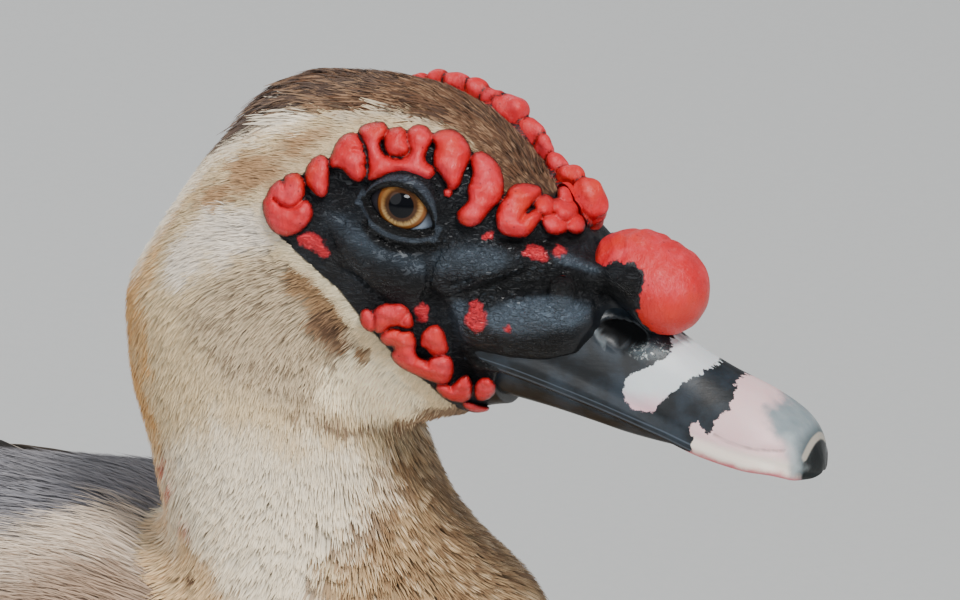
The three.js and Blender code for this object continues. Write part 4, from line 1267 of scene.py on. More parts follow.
def bill_side(x, z):
    """The bill's half width at a place seen from the side, from the eye."""
    high = bill_ridge(x) - bill_edge(x)
    share = np.clip((z - bill_edge(x)) / high, 0, 1)
    outline = np.array(BILL_SECTION[:10], float)[::-1]
    return bill_half(x) * np.interp(share, outline[:, 1], outline[:, 0]) * ((x > 5) & (x < BILL[-1][0]))


def nostril_reach(x, z):
    """How far out on the nostril's ellipse places lie, seen from the side, and how far above its middle."""
    centre = seen_beside(bill_side, NOSTRIL)[0]
    dx, dz = x - centre[0], z - centre[1]
    along = dx * np.cos(NOSTRIL_TILT) + dz * np.sin(NOSTRIL_TILT)
    up = -dx * np.sin(NOSTRIL_TILT) + dz * np.cos(NOSTRIL_TILT)
    return np.hypot(along / NOSTRIL_LONG, up / NOSTRIL_HIGH), up


def bill_upper_points():
    steps = 190
    around = 52
    xs = 12 + (BILL[-1][0] - 12) * np.sin(np.linspace(0, np.pi / 2, steps)) ** 0.9
    points = ring_along(xs, smooth_section(BILL_SECTION, around), bill_ridge, bill_edge, bill_half)
    end = np.sqrt(np.clip(1 - (np.clip(xs - 76.8, 0, 3.5) / 3.52) ** 2, 0, 1))[:, None]
    centre = (bill_edge(xs) + 0.35 * (bill_ridge(xs) - bill_edge(xs)))[:, None]
    points[..., 1] *= 0.15 + 0.85 * end
    points[..., 2] = centre + (points[..., 2] - centre) * (0.15 + 0.85 * end)
    rows, columns = points.shape[:2]
    flat = points.reshape(-1, 3)
    x, side, z = flat[:, 0], np.sign(flat[:, 1]), flat[:, 2]
    share = (z - bill_edge(x)) / (bill_ridge(x) - bill_edge(x))
    reach, up = nostril_reach(x, z)
    on_side = smooth_step(0.02, 0.1, share) * (np.abs(flat[:, 1]) > 1)
    pit = NOSTRIL_DEEP * smooth_step(1.0, 0.68, reach) * on_side
    rim = 0.55 * np.exp(-(((reach - 1.14) / 0.16) ** 2)) * on_side
    hollow = 0.8 * np.exp(-(((reach - 1.9) / 0.45) ** 2)) * on_side * (up > 0)
    groove = np.min([
        np.hypot(x - p[0], z - p[1])
        for p in mixed_line(seen_beside(bill_side, GROOVE_LINE), 40)
    ], axis=0)
    cut = 0.35 * np.exp(-((groove / 0.4) ** 2)) * (np.abs(flat[:, 1]) > 1)
    lip = 0.35 * np.exp(-(((share - 0.12) / 0.05) ** 2)) * (flat[:, 1] != 0)
    flute = 0.3 * np.exp(-(((share - 0.25) / 0.06) ** 2))
    flat[:, 1] += side * (rim + lip - pit - hollow - cut - flute)
    flat[:, 1] = side * np.maximum(side * flat[:, 1], np.where(reach < 2.4, 0.9, 0.0))
    flat[:, 2] -= 0.35 * (rim + lip) * (share > 0.5)
    nail = polygon_distance(x, z, seen_beside(bill_side, NAIL_EDGE))
    flat[:, 2] += 0.25 * smooth_step(-0.8, 0.3, nail)
    return flat + EYE, rows, columns, reach, groove


def mixed_line(line, count):
    """Points spread evenly along a line."""
    line = np.asarray(line, float)
    along = np.concatenate([[0], np.cumsum(np.linalg.norm(np.diff(line, axis=0), axis=1))])
    fine = np.linspace(0, along[-1], count)
    return np.stack([np.interp(fine, along, column) for column in line.T], 1)


def end_caps(rows, columns):
    """The first and last ring of a tube, facing out of it."""
    ring = np.arange(columns)
    return [ring[::-1], (rows - 1) * columns + ring]


def spread_bake(along, around):
    """Bake places from two directions over a piece, each spread to 0.02 to 0.98."""
    spread = [(v - v.min()) / (v.max() - v.min()) for v in (along, around)]
    return 0.02 + 0.96 * np.stack(spread, 1)


def build_bill(material):
    points, rows, columns, reach, groove = bill_upper_points()
    x, z = from_eye(points)
    above_edge = z - bill_edge(x)

    def area(pixels):
        return polygon_distance(x, z, seen_beside(bill_side, pixels))

    marks = {name: area(pixels) for name, pixels in BILL_AREAS.items()}
    piece(
        "upper_bill", points, grid_quads(rows, columns, wrap=True), material,
        replaces=["bill_upper"], slot="bill", caps=end_caps(rows, columns), **marks,
        band_low=-(z - seen_beside(bill_side, BAND_MIDDLE)[0, 1]),
        tomium=3.4 - above_edge,
        lip=1.0 - above_edge,
        nail_dark=marks["nail_tip"] + 1.0,
        groove=groove,
        crust=smooth_step(-0.6, 0.8, area(CRUST_AREA)),
        nostril=smooth_step(1.08, 0.94, reach),
        bake=spread_bake(np.repeat(np.arange(rows), columns), np.tile(np.arange(columns), rows)),
    )


def build_lower_bill(material):
    steps = 110
    around = 44
    xs = np.linspace(6, LOWER_BILL_END, steps)
    half = Curve([(6, 13), (28, 11), (52, 9.2), (62, 9), (68, 7), (LOWER_BILL_END, 3)])(xs)[:, None]
    deep = Curve([(6, 11), (28, 6.6), (52, 4), (LOWER_BILL_END, 2)])(xs)[:, None]
    straight = GAPE[1] + MOUTH_SLOPE * (xs - GAPE[0]) - 0.5
    middle = mix(straight, bill_edge(xs) + 0.9, smooth_step(40, 60, xs))[:, None]
    turn = 2 * np.pi * (np.arange(around) + 0.5)[None] / around
    high = np.where(np.cos(turn) > 0, 0.6, deep)
    rear_groove = np.exp(-(((turn % np.pi - 1.95) / 0.12) ** 2))
    front_groove = np.exp(-(((np.pi - turn % np.pi - 1.95) / 0.12) ** 2))
    grooves = 1 - 0.035 * rear_groove - 0.03 * front_groove
    y = np.sin(turn) * half * grooves
    z = middle + np.cos(turn) * high * grooves
    points = np.stack([np.broadcast_to(xs[:, None], y.shape), y, z], -1).reshape(-1, 3) + EYE
    x = points[:, 0] - EYE[0]
    none = np.full(len(points), -9.0)
    marks = {name: none for name in (*BILL_AREAS, "band_low", "tomium", "lip", "nail_dark")}
    marks |= {"pink": x - LOWER_PINK_FROM, "groove": -none, "crust": 0 * none, "nostril": 0 * none}
    piece(
        "lower_bill", points, grid_quads(steps, around, wrap=True), material,
        replaces=["bill_lower"], slot="bill", caps=end_caps(steps, around), **marks,
        bake=spread_bake(np.repeat(xs, around), np.tile(np.arange(around), steps)),
    )


# Caruncles and the knob
CARUNCLE_STEP = 0.34
KNOB_STEP = 0.4
CARUNCLES_LOW, CARUNCLES_HIGH = EYE + (-42, -30, -50), EYE + (42, 0, 24)
CARUNCLES_SINK = 2.2  # how far below the skin they end
BROW_FROM = EYE[2] - 11  # the height that parts the brow's caruncles from the cheek's
REAR_UP_TO = 530  # the pixel column up to which the outlines are let out less


def caruncle_grid():
    """Distances of the caruncles, and how far inside its outline each place of them is."""
    grid = SideGrid(CARUNCLES_LOW, CARUNCLES_HIGH, CARUNCLE_STEP)
    depth = np.full(grid.values.shape, -9.0)
    for high, pixels in PADS:
        outline = rounded(pixels)
        part, space = grid.near(on_flesh(pixels), 5.5)
        inside = spaced_distance(space, outline) + (0.35 if pixels[0][0] < REAR_UP_TO else 0.65)
        places = np.stack(np.broadcast_arrays(*space), -1)
        skin = near_flesh(places.reshape(-1, 3)).reshape(inside.shape)
        lumps = 0.25 * np.sin(places[..., 0] * 1.3 + places[..., 2] * 0.9) * np.sin(
            places[..., 2] * 1.7 - places[..., 0] * 0.6
        )
        cut = 0
        for deep, line in CRACKS:
            if np.min(np.linalg.norm(np.array(line)[:, None] - outline[None], axis=2)) > 12:
                continue
            cut = cut + deep * np.exp(-((spaced_line(space, line) / 0.42) ** 2))
        reach = min(0.78 * high, 2.9)
        rise = np.sqrt(np.clip(1 - (1 - np.clip(inside / reach, 0, 1)) ** 2, 0, 1))
        rise = (high + lumps) * rise - cut * np.clip(rise, 0, 1) - 3.2 * (inside < 0)
        value = 0.85 * (skin - rise)
        before = grid.values[part].copy()
        nearer = value < before
        grid.values[part] = np.where(nearer, value, before)
        # less far inside at the cracks, so that the painted shade reaches into them
        shown = inside - 0.5 * np.minimum(cut, 1.6)
        depth[part] = np.where(nearer, shown, depth[part])
    return grid, depth


def spaced_line(space, line):
    """How far from a line of the photograph the places of a grid show, in millimetres."""
    return line_distance(*grid_in_photo(space), line)


def far_row():
    """The left side's upper row of caruncles, which shows over the crown."""
    low, high = EYE + (-16, -4, -12), EYE + (38, 20, 22)
    space = plain_grid(low, high, CARUNCLE_STEP)
    values = np.full(np.broadcast(*space).shape, FAR_AWAY)
    rim = np.full(values.shape, 9.0)
    for first, last, left, radius in FAR_ROW:
        plane = sight([first, last]) - EYE
        x = (plane @ CAMERA_RIGHT - CAMERA_RIGHT[1] * left) / CAMERA_RIGHT[0]
        z = (plane @ CAMERA_UP - CAMERA_UP[0] * x - CAMERA_UP[1] * left) / CAMERA_UP[2]
        tops = EYE + np.stack([x, left + 0 * x, z], 1)
        feet = set_at(tops + (0, 2.5, -2.5), -0.5)[0]
        radii = radius * np.array([0.9, 1, 1, 0.9])
        one = chain_field(*space, [feet[0], tops[0], tops[1], feet[1]], radii)
        # rim: how far from the crease between two caruncles, which sets their painted shade
        rim = np.where(one < values, np.abs(one - values), np.minimum(rim, np.abs(one - values)))
        values = smooth_min(values, one, 0.3)
    lumps = 0.22 * np.sin(space[0] * 1.4 + space[2]) * np.sin(space[1] * 1.3 - space[2] * 0.8)
    points, quads = net_of(values + lumps, low, CARUNCLE_STEP)
    rim = rim[nearest_cells(points, low, CARUNCLE_STEP, rim.shape)]
    return points, quads, np.minimum(rim * 1.1, 2.0)


def build_caruncles(material):
    grid, depth = caruncle_grid()
    points, quads = grid.mesh(both=False)
    inside = depth[nearest_cells(points, grid.low, grid.step, depth.shape)]
    keep = flesh(points) > -CARUNCLES_SINK
    quads = quads[keep[quads].all(1)]
    far_points, far_quads, far_rim = far_row()
    for side, way in (("right", 1), ("left", -1)):
        place = points
        if way < 0:
            wave = np.stack([np.sin(points[:, 2] * 0.5), 0 * points[:, 1], np.sin(points[:, 0] * 0.45)], 1)
            place = points * (1, -1, 1) + 0.5 * wave
        for row, high in (("brow", True), ("cheek", False)):
            rows = (points[:, 2] > BROW_FROM) == high
            used = rows[quads].all(1)
            index = np.cumsum(rows) - 1
            spots, faces, rim = place[rows], index[quads[used]][:, ::way], inside[rows]
            if way < 0 and high:
                faces = np.concatenate([faces, far_quads + len(spots)])
                spots = np.concatenate([spots, far_points])
                rim = np.concatenate([rim, far_rim])
            kept = np.unique(faces)
            number = np.zeros(len(spots), int)
            number[kept] = np.arange(len(kept))
            spots, rim, faces = spots[kept], rim[kept], number[faces]
            piece(
                f"{row}_caruncles_{side}_flesh", spots, faces, material,
                replaces=[f"{row}_caruncles_{side}"], slot="caruncle",
                rim=rim, low=0 * rim, dark=np.full(len(spots), -9.0),
                bake=spread_bake(spots[:, 0], spots[:, 2]),
            )


def build_knob(material):
    """The knob on the bill's root."""
    low, high = EYE + (14, -13.0, -30), EYE + (60, 13.1, 8)
    x, y, z = plain_grid(low, high, KNOB_STEP)
    values = knob_field(x, y, z)
    folds = np.sin((x - EYE[0]) * 1.9 + 1.4 * np.sin(z * 0.7 + y * 0.4)) * smooth_step(-15, -8, z - EYE[2])
    rim = 0.35 + 0.65 * np.sin(0.55 * (x - EYE[0]) + 0.8) ** 2
    values = values + 0.16 * folds * rim + 0.07 * np.sin(y * 0.9 + x * 0.5) * np.sin(z * 0.8 + x * 0.4)
    points, quads = net_of(values, low, KNOB_STEP)
    dark = polygon_distance(*from_eye(points), knob_dark)
    piece(
        "bill_knob", points, quads, material,
        replaces=["knob"], slot="caruncle",
        rim=np.full(len(points), 1.5),
        low=smooth_step(-11, -22, points[:, 2] - EYE[2]),
        dark=dark,
        bake=spread_bake(points[:, 0], np.arctan2(points[:, 1], points[:, 2] - EYE[2] + 15)),
    )


# The skin


def bird_bake(points):
    """Bake places on an unwrap of the skin's own shape: along the spine, and round it."""
    x, y, z = (points - EYE).T
    spine = np.where(z > -90, -z * 0.9 + 30, 110 + (90 + x) * -0.8)
    along = mix(-0.55 * x, spine, smooth_step(-20, -45, z))
    along = np.where(z < -84, mix(along, 75 + (300 - points[:, 0]) * 0.75, smooth_step(-84, -120, z)), along)
    top, bottom = body_top(points[:, 0]), body_bottom(points[:, 0])
    middle = np.where(z > -60, -20.0, (top + bottom) / 2 - EYE[2])
    turn = np.arctan2(y, z - middle)
    round_neck = np.arctan2(y, -(x + 32))
    turn = mix(turn, round_neck, smooth_step(-30, -55, z) * smooth_step(-120, -95, z))
    return np.stack([0.5 + turn / (2 * np.pi) * 0.94, np.clip(0.03 + (along + 40) / 610, 0.02, 0.98)], 1)


def build_skin(material):
    grid = head_grid()
    fine = grid.mesh()
    whole = grid.whole()
    start = (whole.shape[1] - 1) // 2 % 2
    rough = net_of(whole[::2, start::2, ::2], grid.low + (0, start * FACE_STEP, 0), 2 * FACE_STEP)
    parts = []
    for (points, quads), near_face in ((fine, True), (rough, False)):
        x, z = from_eye(points)
        face = face_distance(x, z)
        keep = face > -2.5 if near_face else face < -1.0
        edge = polygon_distance(x, z, SLEEVE)
        cover = polygon_distance(x, z, knob_dark)
        in_bill = bill_field(*points.T)
        buried = (in_bill < -0.7) & (edge < -1.5) & (cover < -0.5) & (x > 12)
        buried |= (knob_field(*points.T) < -1.2) & (cover < -1.0)
        buried |= (nostril_reach(x, z)[0] < 1.12) & (in_bill < -0.3)
        keep &= ~buried
        used = keep[quads].all(1)
        index = np.cumsum(keep) - 1
        parts.append((points[keep], index[quads[used]]))
    parts.append(trunk_skin())
    points = np.concatenate([p for p, q in parts])
    shift = np.cumsum([0] + [len(p) for p, q in parts])
    quads = np.concatenate([q + s for (p, q), s in zip(parts, shift)])
    x, z = from_eye(points)
    patch = np.max([picture_distance(points, rounded(outline)) for outline in RED_PATCHES], axis=0)
    bare = face_distance(x, z) - 60.0 * (z < -60)
    seen = [picture_distance(points, outline) for outline in PEBBLED]
    # tone: painted light on the face's raised folds and painted shade in its creases and under things
    tone = np.zeros(len(points))
    for amount, soft, outline in FACE_LIGHT_AND_SHADE:
        tone += amount * smooth_step(-soft, soft, picture_distance(points, rounded(outline)))
    lid = lid_opening(points[:, 0], points[:, 2]) + 9 * (np.abs(x) > 16)
    piece(
        "skin", points, quads, material,
        replaces=["torso", "neck_lower", "neck_upper", "head"], slot="head",
        # the coat's colours, darkened as painted shade where the skin shows between the feathers
        tint=0.72 * coat_colour(points),
        bare=bare,
        patch=patch,
        tone=np.clip(tone, -1, 1),
        pebble=smooth_step(-2, 2, np.max(seen, axis=0)),
        lid=lid,
        edge=polygon_distance(x, z, SLEEVE) + 9 * (z > -13),
        bake=bird_bake(points),
    )


# The eyes
PUPIL_RADIUS = 2.35
IRIS_CENTRE = (0.6, 0.6)  # from the ball's middle, forward and up


def eye_material():
    """A dark pupil in a brown and amber ring under a clear wet cornea."""
    paint = Paint("eye", Roughness=0.05, IOR=1.38, Specular_IOR_Level=0.12, Coat_Weight=0.28,
                  Coat_Roughness=0.02)
    away = paint.attribute("iris")
    streaks = paint.noise(0.5, 3, 0.7, vector=paint.attribute("iris_place", "Vector"))
    ring = paint.blend(streaks, rgb(118, 78, 38), rgb(160, 114, 62))
    low = paint.times(paint.step(paint.attribute("iris_turn"), 0.5, -0.9), paint.step(streaks, 0.2, 0.7))
    ring = paint.layer(ring, rgb(218, 184, 124), low, 0.8)
    outer = paint.plus(away, paint.times(streaks, 0.3))
    ring = paint.layer(ring, rgb(128, 76, 34), paint.step(outer, 4.0, 4.5))
    ring = paint.layer(ring, rgb(46, 32, 26), paint.step(away, 4.6, 5.0))
    inner = paint.plus(away, paint.times(streaks, 0.5))
    ring = paint.layer(ring, rgb(66, 40, 22), paint.step(inner, 4.0, 3.1))
    colour = paint.layer(ring, rgb(4, 5, 10), paint.step(away, PUPIL_RADIUS + 0.15, PUPIL_RADIUS - 0.1))
    ball = paint.blend(paint.noise(1.5, 3), rgb(30, 30, 36), rgb(60, 56, 60))
    ball = paint.layer(ball, rgb(168, 184, 204), paint.attribute("membrane"))
    colour = paint.layer(colour, ball, paint.step(away, 4.95, 5.15))
    return paint.set(Base_Color=colour, Normal=paint.bump(streaks, 0.06, 0.05))


def build_eyes(material):
    rows, columns = 60, 96
    for name, side in (("right", -1), ("left", 1)):
        axis = unit(np.array([0.1, 0.99 * side, 0.07]))
        centre = EYE + (0, EYE_SIDE * side, 0)
        right = unit(np.cross((0, 0, 1), axis))
        up = np.cross(axis, right)
        bend = np.linspace(0, np.pi, rows)
        turn = 2 * np.pi * np.arange(columns) / columns
        b, t = np.meshgrid(bend, turn, indexing="ij")
        ways = (
            np.cos(b)[..., None] * axis
            + (np.sin(b) * np.cos(t))[..., None] * right
            + (np.sin(b) * np.sin(t))[..., None] * up
        ).reshape(-1, 3)
        iris_way = unit(axis * EYE_RADIUS + np.array([IRIS_CENTRE[0], 0, IRIS_CENTRE[1]]))
        near = ways @ iris_way
        swell = 0.35 * smooth_step(0.75, 0.97, near)
        points = centre + ways * (EYE_RADIUS + swell)[:, None]
        flat = EYE_RADIUS * (ways - near[:, None] * iris_way)
        away = np.where(near > 0, np.linalg.norm(flat, axis=1), 20)
        iris_up = unit(up - (up @ iris_way) * iris_way)
        lift = (flat @ iris_up) / np.maximum(away, 0.1)
        angle = np.arctan2(flat @ iris_up, flat @ np.cross(iris_up, iris_way))
        place = np.stack([6 * np.cos(angle), 6 * np.sin(angle), 0.25 * away], 1)
        front_low = np.degrees(np.arctan2(flat @ iris_up, flat[:, 0]))
        membrane = np.exp(-(((front_low + 62) / 26) ** 2)) * smooth_step(4.9, 5.3, away) * (near > 0)
        piece(
            f"eye_{name}_ball", points, grid_quads(rows, columns, wrap=True)[:, ::-1], material,
            replaces=[f"eye_{name}"], slot="eye",
            iris=away, iris_turn=lift, iris_place=place, membrane=membrane,
            bake=0.02 + 0.96 * np.stack([t.ravel() / (2 * np.pi), b.ravel() / np.pi], 1),
        )


# The coat's colours, by the areas where the photograph shows them
NECK_TINT = rgb(206, 186, 150)
AREAS = {
    # colour, edge softness in millimetres, outline in pixels
    "front neck": (rgb(172, 144, 108), 3.0, [
        (392, 425), (440, 418), (470, 440), (500, 520), (580, 600), (600, 680), (380, 680), (340, 610),
        (325, 560), (372, 480)]),
    "neck pale": (rgb(222, 210, 188), 4.0, [
        (150, 440), (220, 400), (300, 420), (372, 440), (385, 480), (330, 560), (300, 660), (170, 660),
        (150, 540)]),
    "cheek": (rgb(186, 168, 140), 2.5, [
        (300, 255), (350, 310), (375, 350), (330, 390), (260, 380), (200, 330), (190, 290), (240, 262)]),
    "jowl": (rgb(238, 224, 194), 1.2, [
        (345, 345), (380, 350), (425, 385), (428, 408), (380, 408), (340, 392), (318, 372)]),
    "whitish": (rgb(222, 212, 198), 2.0, [
        (265, 205), (220, 205), (185, 235), (175, 270), (200, 280), (240, 255), (290, 245)]),
    "outer tan": (rgb(206, 163, 106), 3.0, [
        (215, 150), (170, 180), (135, 225), (105, 300), (100, 380), (110, 440), (130, 500), (152, 520),
        (155, 450), (151, 400), (147, 330), (152, 280), (167, 235), (192, 200)]),
    "brown streaks": (rgb(166, 132, 98), 1.5, [
        (375, 120), (340, 128), (300, 142), (260, 160), (225, 185), (205, 205), (235, 205), (270, 190),
        (300, 170), (330, 145)]),
    "crown": (rgb(98, 68, 48), 1.2, [
        (560, 225), (520, 205), (495, 180), (480, 150), (455, 134), (430, 124), (400, 112), (370, 114),
        (330, 112), (290, 115), (255, 125), (225, 135), (215, 100), (260, 70), (300, 50), (400, 30),
        (600, 60), (640, 200)]),
    "cream band": (rgb(236, 224, 204), 0.9, [
        (345, 112), (320, 112), (280, 117), (240, 130), (200, 158), (170, 190), (150, 225), (138, 262),
        (146, 262), (160, 235), (185, 205), (215, 170), (250, 150), (290, 138), (325, 128)]),
    "low nape": (rgb(210, 182, 142), 4.0, [(150, 525), (205, 515), (240, 600), (250, 690), (140, 690)]),
}
STROKES = {
    # colour, radius in millimetres, line in pixels
    "cream line": (rgb(206, 190, 164), 0.45, [(356, 121), (375, 116), (402, 117), (430, 124), (444, 131)]),
    "crest shade": (rgb(88, 70, 60), 1.6, [(415, 84), (340, 97), (290, 104), (225, 125)]),
    "cheek shade": (rgb(156, 124, 90), 1.9, [(306, 278), (322, 294), (336, 310), (344, 322)]),
    "cheek edge": (rgb(212, 198, 166), 0.4, [(292, 246), (302, 256), (330, 280), (352, 303), (363, 321)]),
    "cheek spot 1": (rgb(132, 102, 76), 1.3, [(326, 316), (343, 330), (352, 342)]),
    "cheek spot heart": (rgb(86, 62, 46), 0.2, [(338, 324), (345, 332)]),
    "nape red 1": (rgb(196, 112, 96), 0.25, [(158, 453), (164, 445)]),
    "nape red 2": (rgb(196, 112, 96), 0.25, [(165, 476), (172, 466)]),
    "nape red 3": (rgb(196, 112, 96), 0.35, [(181, 506), (186, 513)]),
    "cheek spot 2": (rgb(128, 98, 70), 0.6, [(366, 348), (370, 352)]),
    # painted shade in the crease under the jowl
    "shade under the jowl": (rgb(134, 112, 90), 0.6, [(300, 392), (350, 412), (400, 418), (432, 414)]),
    "throat": (rgb(128, 104, 82), 1.6, [(430, 415), (470, 414)]),
    "neck fleck": (rgb(96, 72, 54), 0.7, [(194, 556), (197, 566)]),
}


def coat_colour(points):
    """The coat's colour at places of the head, neck and body."""
    u, v = photo_place(points)
    z = points[:, 2]
    wobble = 1.5 * slow_noise(points, 9.0) + 0.8 * slow_noise(points + 50, 3.5)
    colour = np.broadcast_to(NECK_TINT, (len(points), 3)).copy()
    for tint, soft, outline in AREAS.values():
        inside = polygon_distance(u, v, outline) / PIXELS_PER_MM
        share = smooth_step(-soft, soft, inside + 0.5 * soft * wobble)
        colour = mix(colour, tint, share[:, None])
    for tint, radius, line in STROKES.values():
        share = smooth_step(radius + 0.9, radius - 0.5, line_distance(u, v, line) + 0.3 * wobble)
        colour = mix(colour, tint, share[:, None])
    body = body_colour(points, wobble)
    return mix(colour, body, smooth_step(-98, -126, z - EYE[2] + 3 * wobble)[:, None])


def body_colour(points, wobble):
    x, z = points[:, 0], points[:, 2]
    top, bottom = body_top(x), body_bottom(x)
    share = (z - bottom) / np.maximum(top - bottom, 1)
    belly = mix(rgb(182, 166, 142), rgb(204, 194, 176), smooth_step(150, -60, x)[:, None])
    breast = mix(belly, rgb(160, 134, 106), smooth_step(150, 240, x + 8 * wobble)[:, None])
    back = rgb(122, 118, 118)
    mantle = mix(back, rgb(170, 156, 140), smooth_step(120, 190, x + 6 * wobble)[:, None])
    return mix(breast, mantle, smooth_step(0.62, 0.8, share + 0.04 * wobble)[:, None])


# Camera, light and floor
LAMPS = [
    # name, place and aim in metres, width, height, power and colour
    ("key", (1.2, -0.75, 2.1), (0.24, 0, 0.3), 0.6, 0.6, 52, (1.0, 0.985, 0.96)),
    ("catch light", (0.7, -2.01, 1.16), (0.24, 0, 0.33), 0.58, 0.34, 12, (0.94, 0.97, 1.0)),
    ("fill", (-0.5, -2.2, 0.9), (0.22, 0, 0.28), 1.4, 1.4, 7, (0.95, 0.97, 1.0)),
    ("back", (-1.4, 1.3, 1.5), (0.1, 0, 0.25), 1.2, 1.2, 14, (0.96, 0.98, 1.0)),
]
SKY = (0.83, 0.86, 0.9, 1)
SKY_STRENGTH = 0.42
FLOOR_REACH = 12


def build_camera():
    data = bpy.data.cameras.new("camera")
    camera = bpy.data.objects.new("camera", data)
    bpy.context.scene.collection.objects.link(camera)
    across = (EYES_IN_PHOTO[0] - PHOTO_SIZE[0] / 2) / PIXELS_PER_MM
    down = (EYES_IN_PHOTO[1] - PHOTO_SIZE[1] / 2) / PIXELS_PER_MM
    aim = EYE - across * CAMERA_RIGHT + down * CAMERA_UP
    place = Matrix(np.stack([CAMERA_RIGHT, CAMERA_UP, CAMERA_BACK], 1).tolist()).to_4x4()
    place.translation = Vector(aim * MM + CAMERA_FAR * CAMERA_BACK)
    camera.matrix_world = place
    data.sensor_width = SENSOR
    data.lens = SENSOR * CAMERA_FAR / (PHOTO_SIZE[0] / PIXELS_PER_MM * MM)
    data.clip_start, data.clip_end = 0.05, 60
    data.dof.use_dof = False
    bpy.context.scene.camera = camera


def build_lights():
    for name, place, aim, wide, high, power, colour in LAMPS:
        light = bpy.data.lights.new(name, "AREA")
        light.shape = "DISK" if wide == high else "ELLIPSE"
        light.size, light.size_y, light.energy, light.color = wide, high, power, colour
        thing = bpy.data.objects.new(name, light)
        thing.location = place
        thing.rotation_euler = (Vector(aim) - Vector(place)).to_track_quat("-Z", "Y").to_euler()
        thing.visible_camera = False
        bpy.context.scene.collection.objects.link(thing)
    world = bpy.data.worlds.new("studio")
    world.use_nodes = True
    sky = world.node_tree.nodes["Background"].inputs
    sky["Color"].default_value = SKY
    sky["Strength"].default_value = SKY_STRENGTH
    bpy.context.scene.world = world


def build_floor():
    mesh = bpy.data.meshes.new("floor")
    far = FLOOR_REACH
    mesh.from_pydata([(-far, -far, 0), (far, -far, 0), (far, far, 0), (-far, far, 0)], [], [(0, 1, 2, 3)])
    floor = bpy.data.objects.new("floor", mesh)
    bpy.context.scene.collection.objects.link(floor)
    pale = Paint("floor", Roughness=0.8)
    grain = pale.noise(3, 2)
    mesh.materials.append(pale.set(Base_Color=pale.blend(grain, (0.66, 0.67, 0.66), (0.7, 0.7, 0.69))))


# Feathers

# How far apart they are rooted; the head and the breast are gone over again
SPACINGS = {"head and neck": 1.05, "head again": 1.25, "neck base": 2.6, "body": 6.4, "breast again": 7.5}


def lie(points, out):
    """The way the coat lies at places of the skin."""
    z = points[:, 2:3] - EYE[2]
    head = np.array([-1.0, 0, -0.12])
    neck = np.array([-0.25, 0, -1.0])
    body = np.array([-1.0, 0, -0.25])
    cheek = mix(head, neck, smooth_step(-8, -52, z + 0.25 * (points[:, :1] - EYE[0])))
    way = mix(cheek, body, smooth_step(-88, -140, z))
    way = way - rows_dot(way, out) * out
    return unit(way)


def scatter(points, quads, spacing, keep):
    """Places spread over a mesh, about spacing apart."""
    corners = points[np.concatenate([quads[:, [0, 1, 2]], quads[:, [0, 2, 3]]])]
    corners = corners[keep(corners.mean(1))]
    first, second = corners[:, 1] - corners[:, 0], corners[:, 2] - corners[:, 0]
    area = 0.5 * np.linalg.norm(np.cross(first, second), axis=1)
    count = int(area.sum() / spacing**2 * 2.2)
    pick = rng.choice(len(corners), count, p=area / area.sum())
    a, b = rng.random((2, count, 1))
    flip = a + b > 1
    a, b = np.where(flip, 1 - a, a), np.where(flip, 1 - b, b)
    c = corners[pick]
    spots = c[:, 0] + a * (c[:, 1] - c[:, 0]) + b * (c[:, 2] - c[:, 0])
    box = np.floor(spots / spacing).astype(np.int64)
    key = (box[:, 0] * 4001 + box[:, 1]) * 4001 + box[:, 2]
    return spots[np.unique(key, return_index=True)[1]]


def lay(roots, length, depth, rise, stations=4, turn=0.0):
    """Lines that follow the coat from their roots, with the outward and sideways ways on them."""
    depth = np.broadcast_to(depth, len(roots))
    rise = np.broadcast_to(rise, len(roots))
    points, out = set_at(roots, -depth)
    lines, outs, sides = [], [], []
    for k in range(stations):
        way = lie(points, out)
        side = np.cross(out, way)
        way = way * np.cos(turn)[:, None] + side * np.sin(turn)[:, None] if np.ndim(turn) else way
        side = np.cross(out, way)
        lines.append(points)
        outs.append(out)
        sides.append(side)
        if k + 1 < stations:
            share = (k + 1) / (stations - 1)
            points = points + way * (length / (stations - 1))[:, None]
            points, out = set_at(points, mix(-depth, rise, share**0.7))
    return np.stack(lines, 1), np.stack(outs, 1), np.stack(sides, 1)


def some_of(parts, pick):
    return tuple(part[pick] for part in parts)


def along_line(line, t):
    """Reads lines of evenly spread stations at shares t of their length."""
    count = line.shape[1] - 1
    q = np.clip(t, 0, 1) * count
    i = np.minimum(q.astype(int), count - 1)
    f = (q - i)[..., None]
    n = np.arange(len(line)).reshape((-1,) + (1,) * (t.ndim - 1))
    return line[n, i] * (1 - f) + line[n, i + 1] * f


def patches(root_bake, across, along):
    """Bake places: a small patch for each tuft at its root's place."""
    low, high = root_bake.min(0), root_bake.max(0)
    centre = 0.02 + 0.96 * (root_bake - low) / (high - low)
    extra = (1,) * (across.ndim - 1)
    centre = centre.reshape(len(centre), *extra, 2)
    shift = np.stack([across, along - 0.5], -1) * (0.0015, 0.003)
    return (centre + shift).reshape(-1, 2)


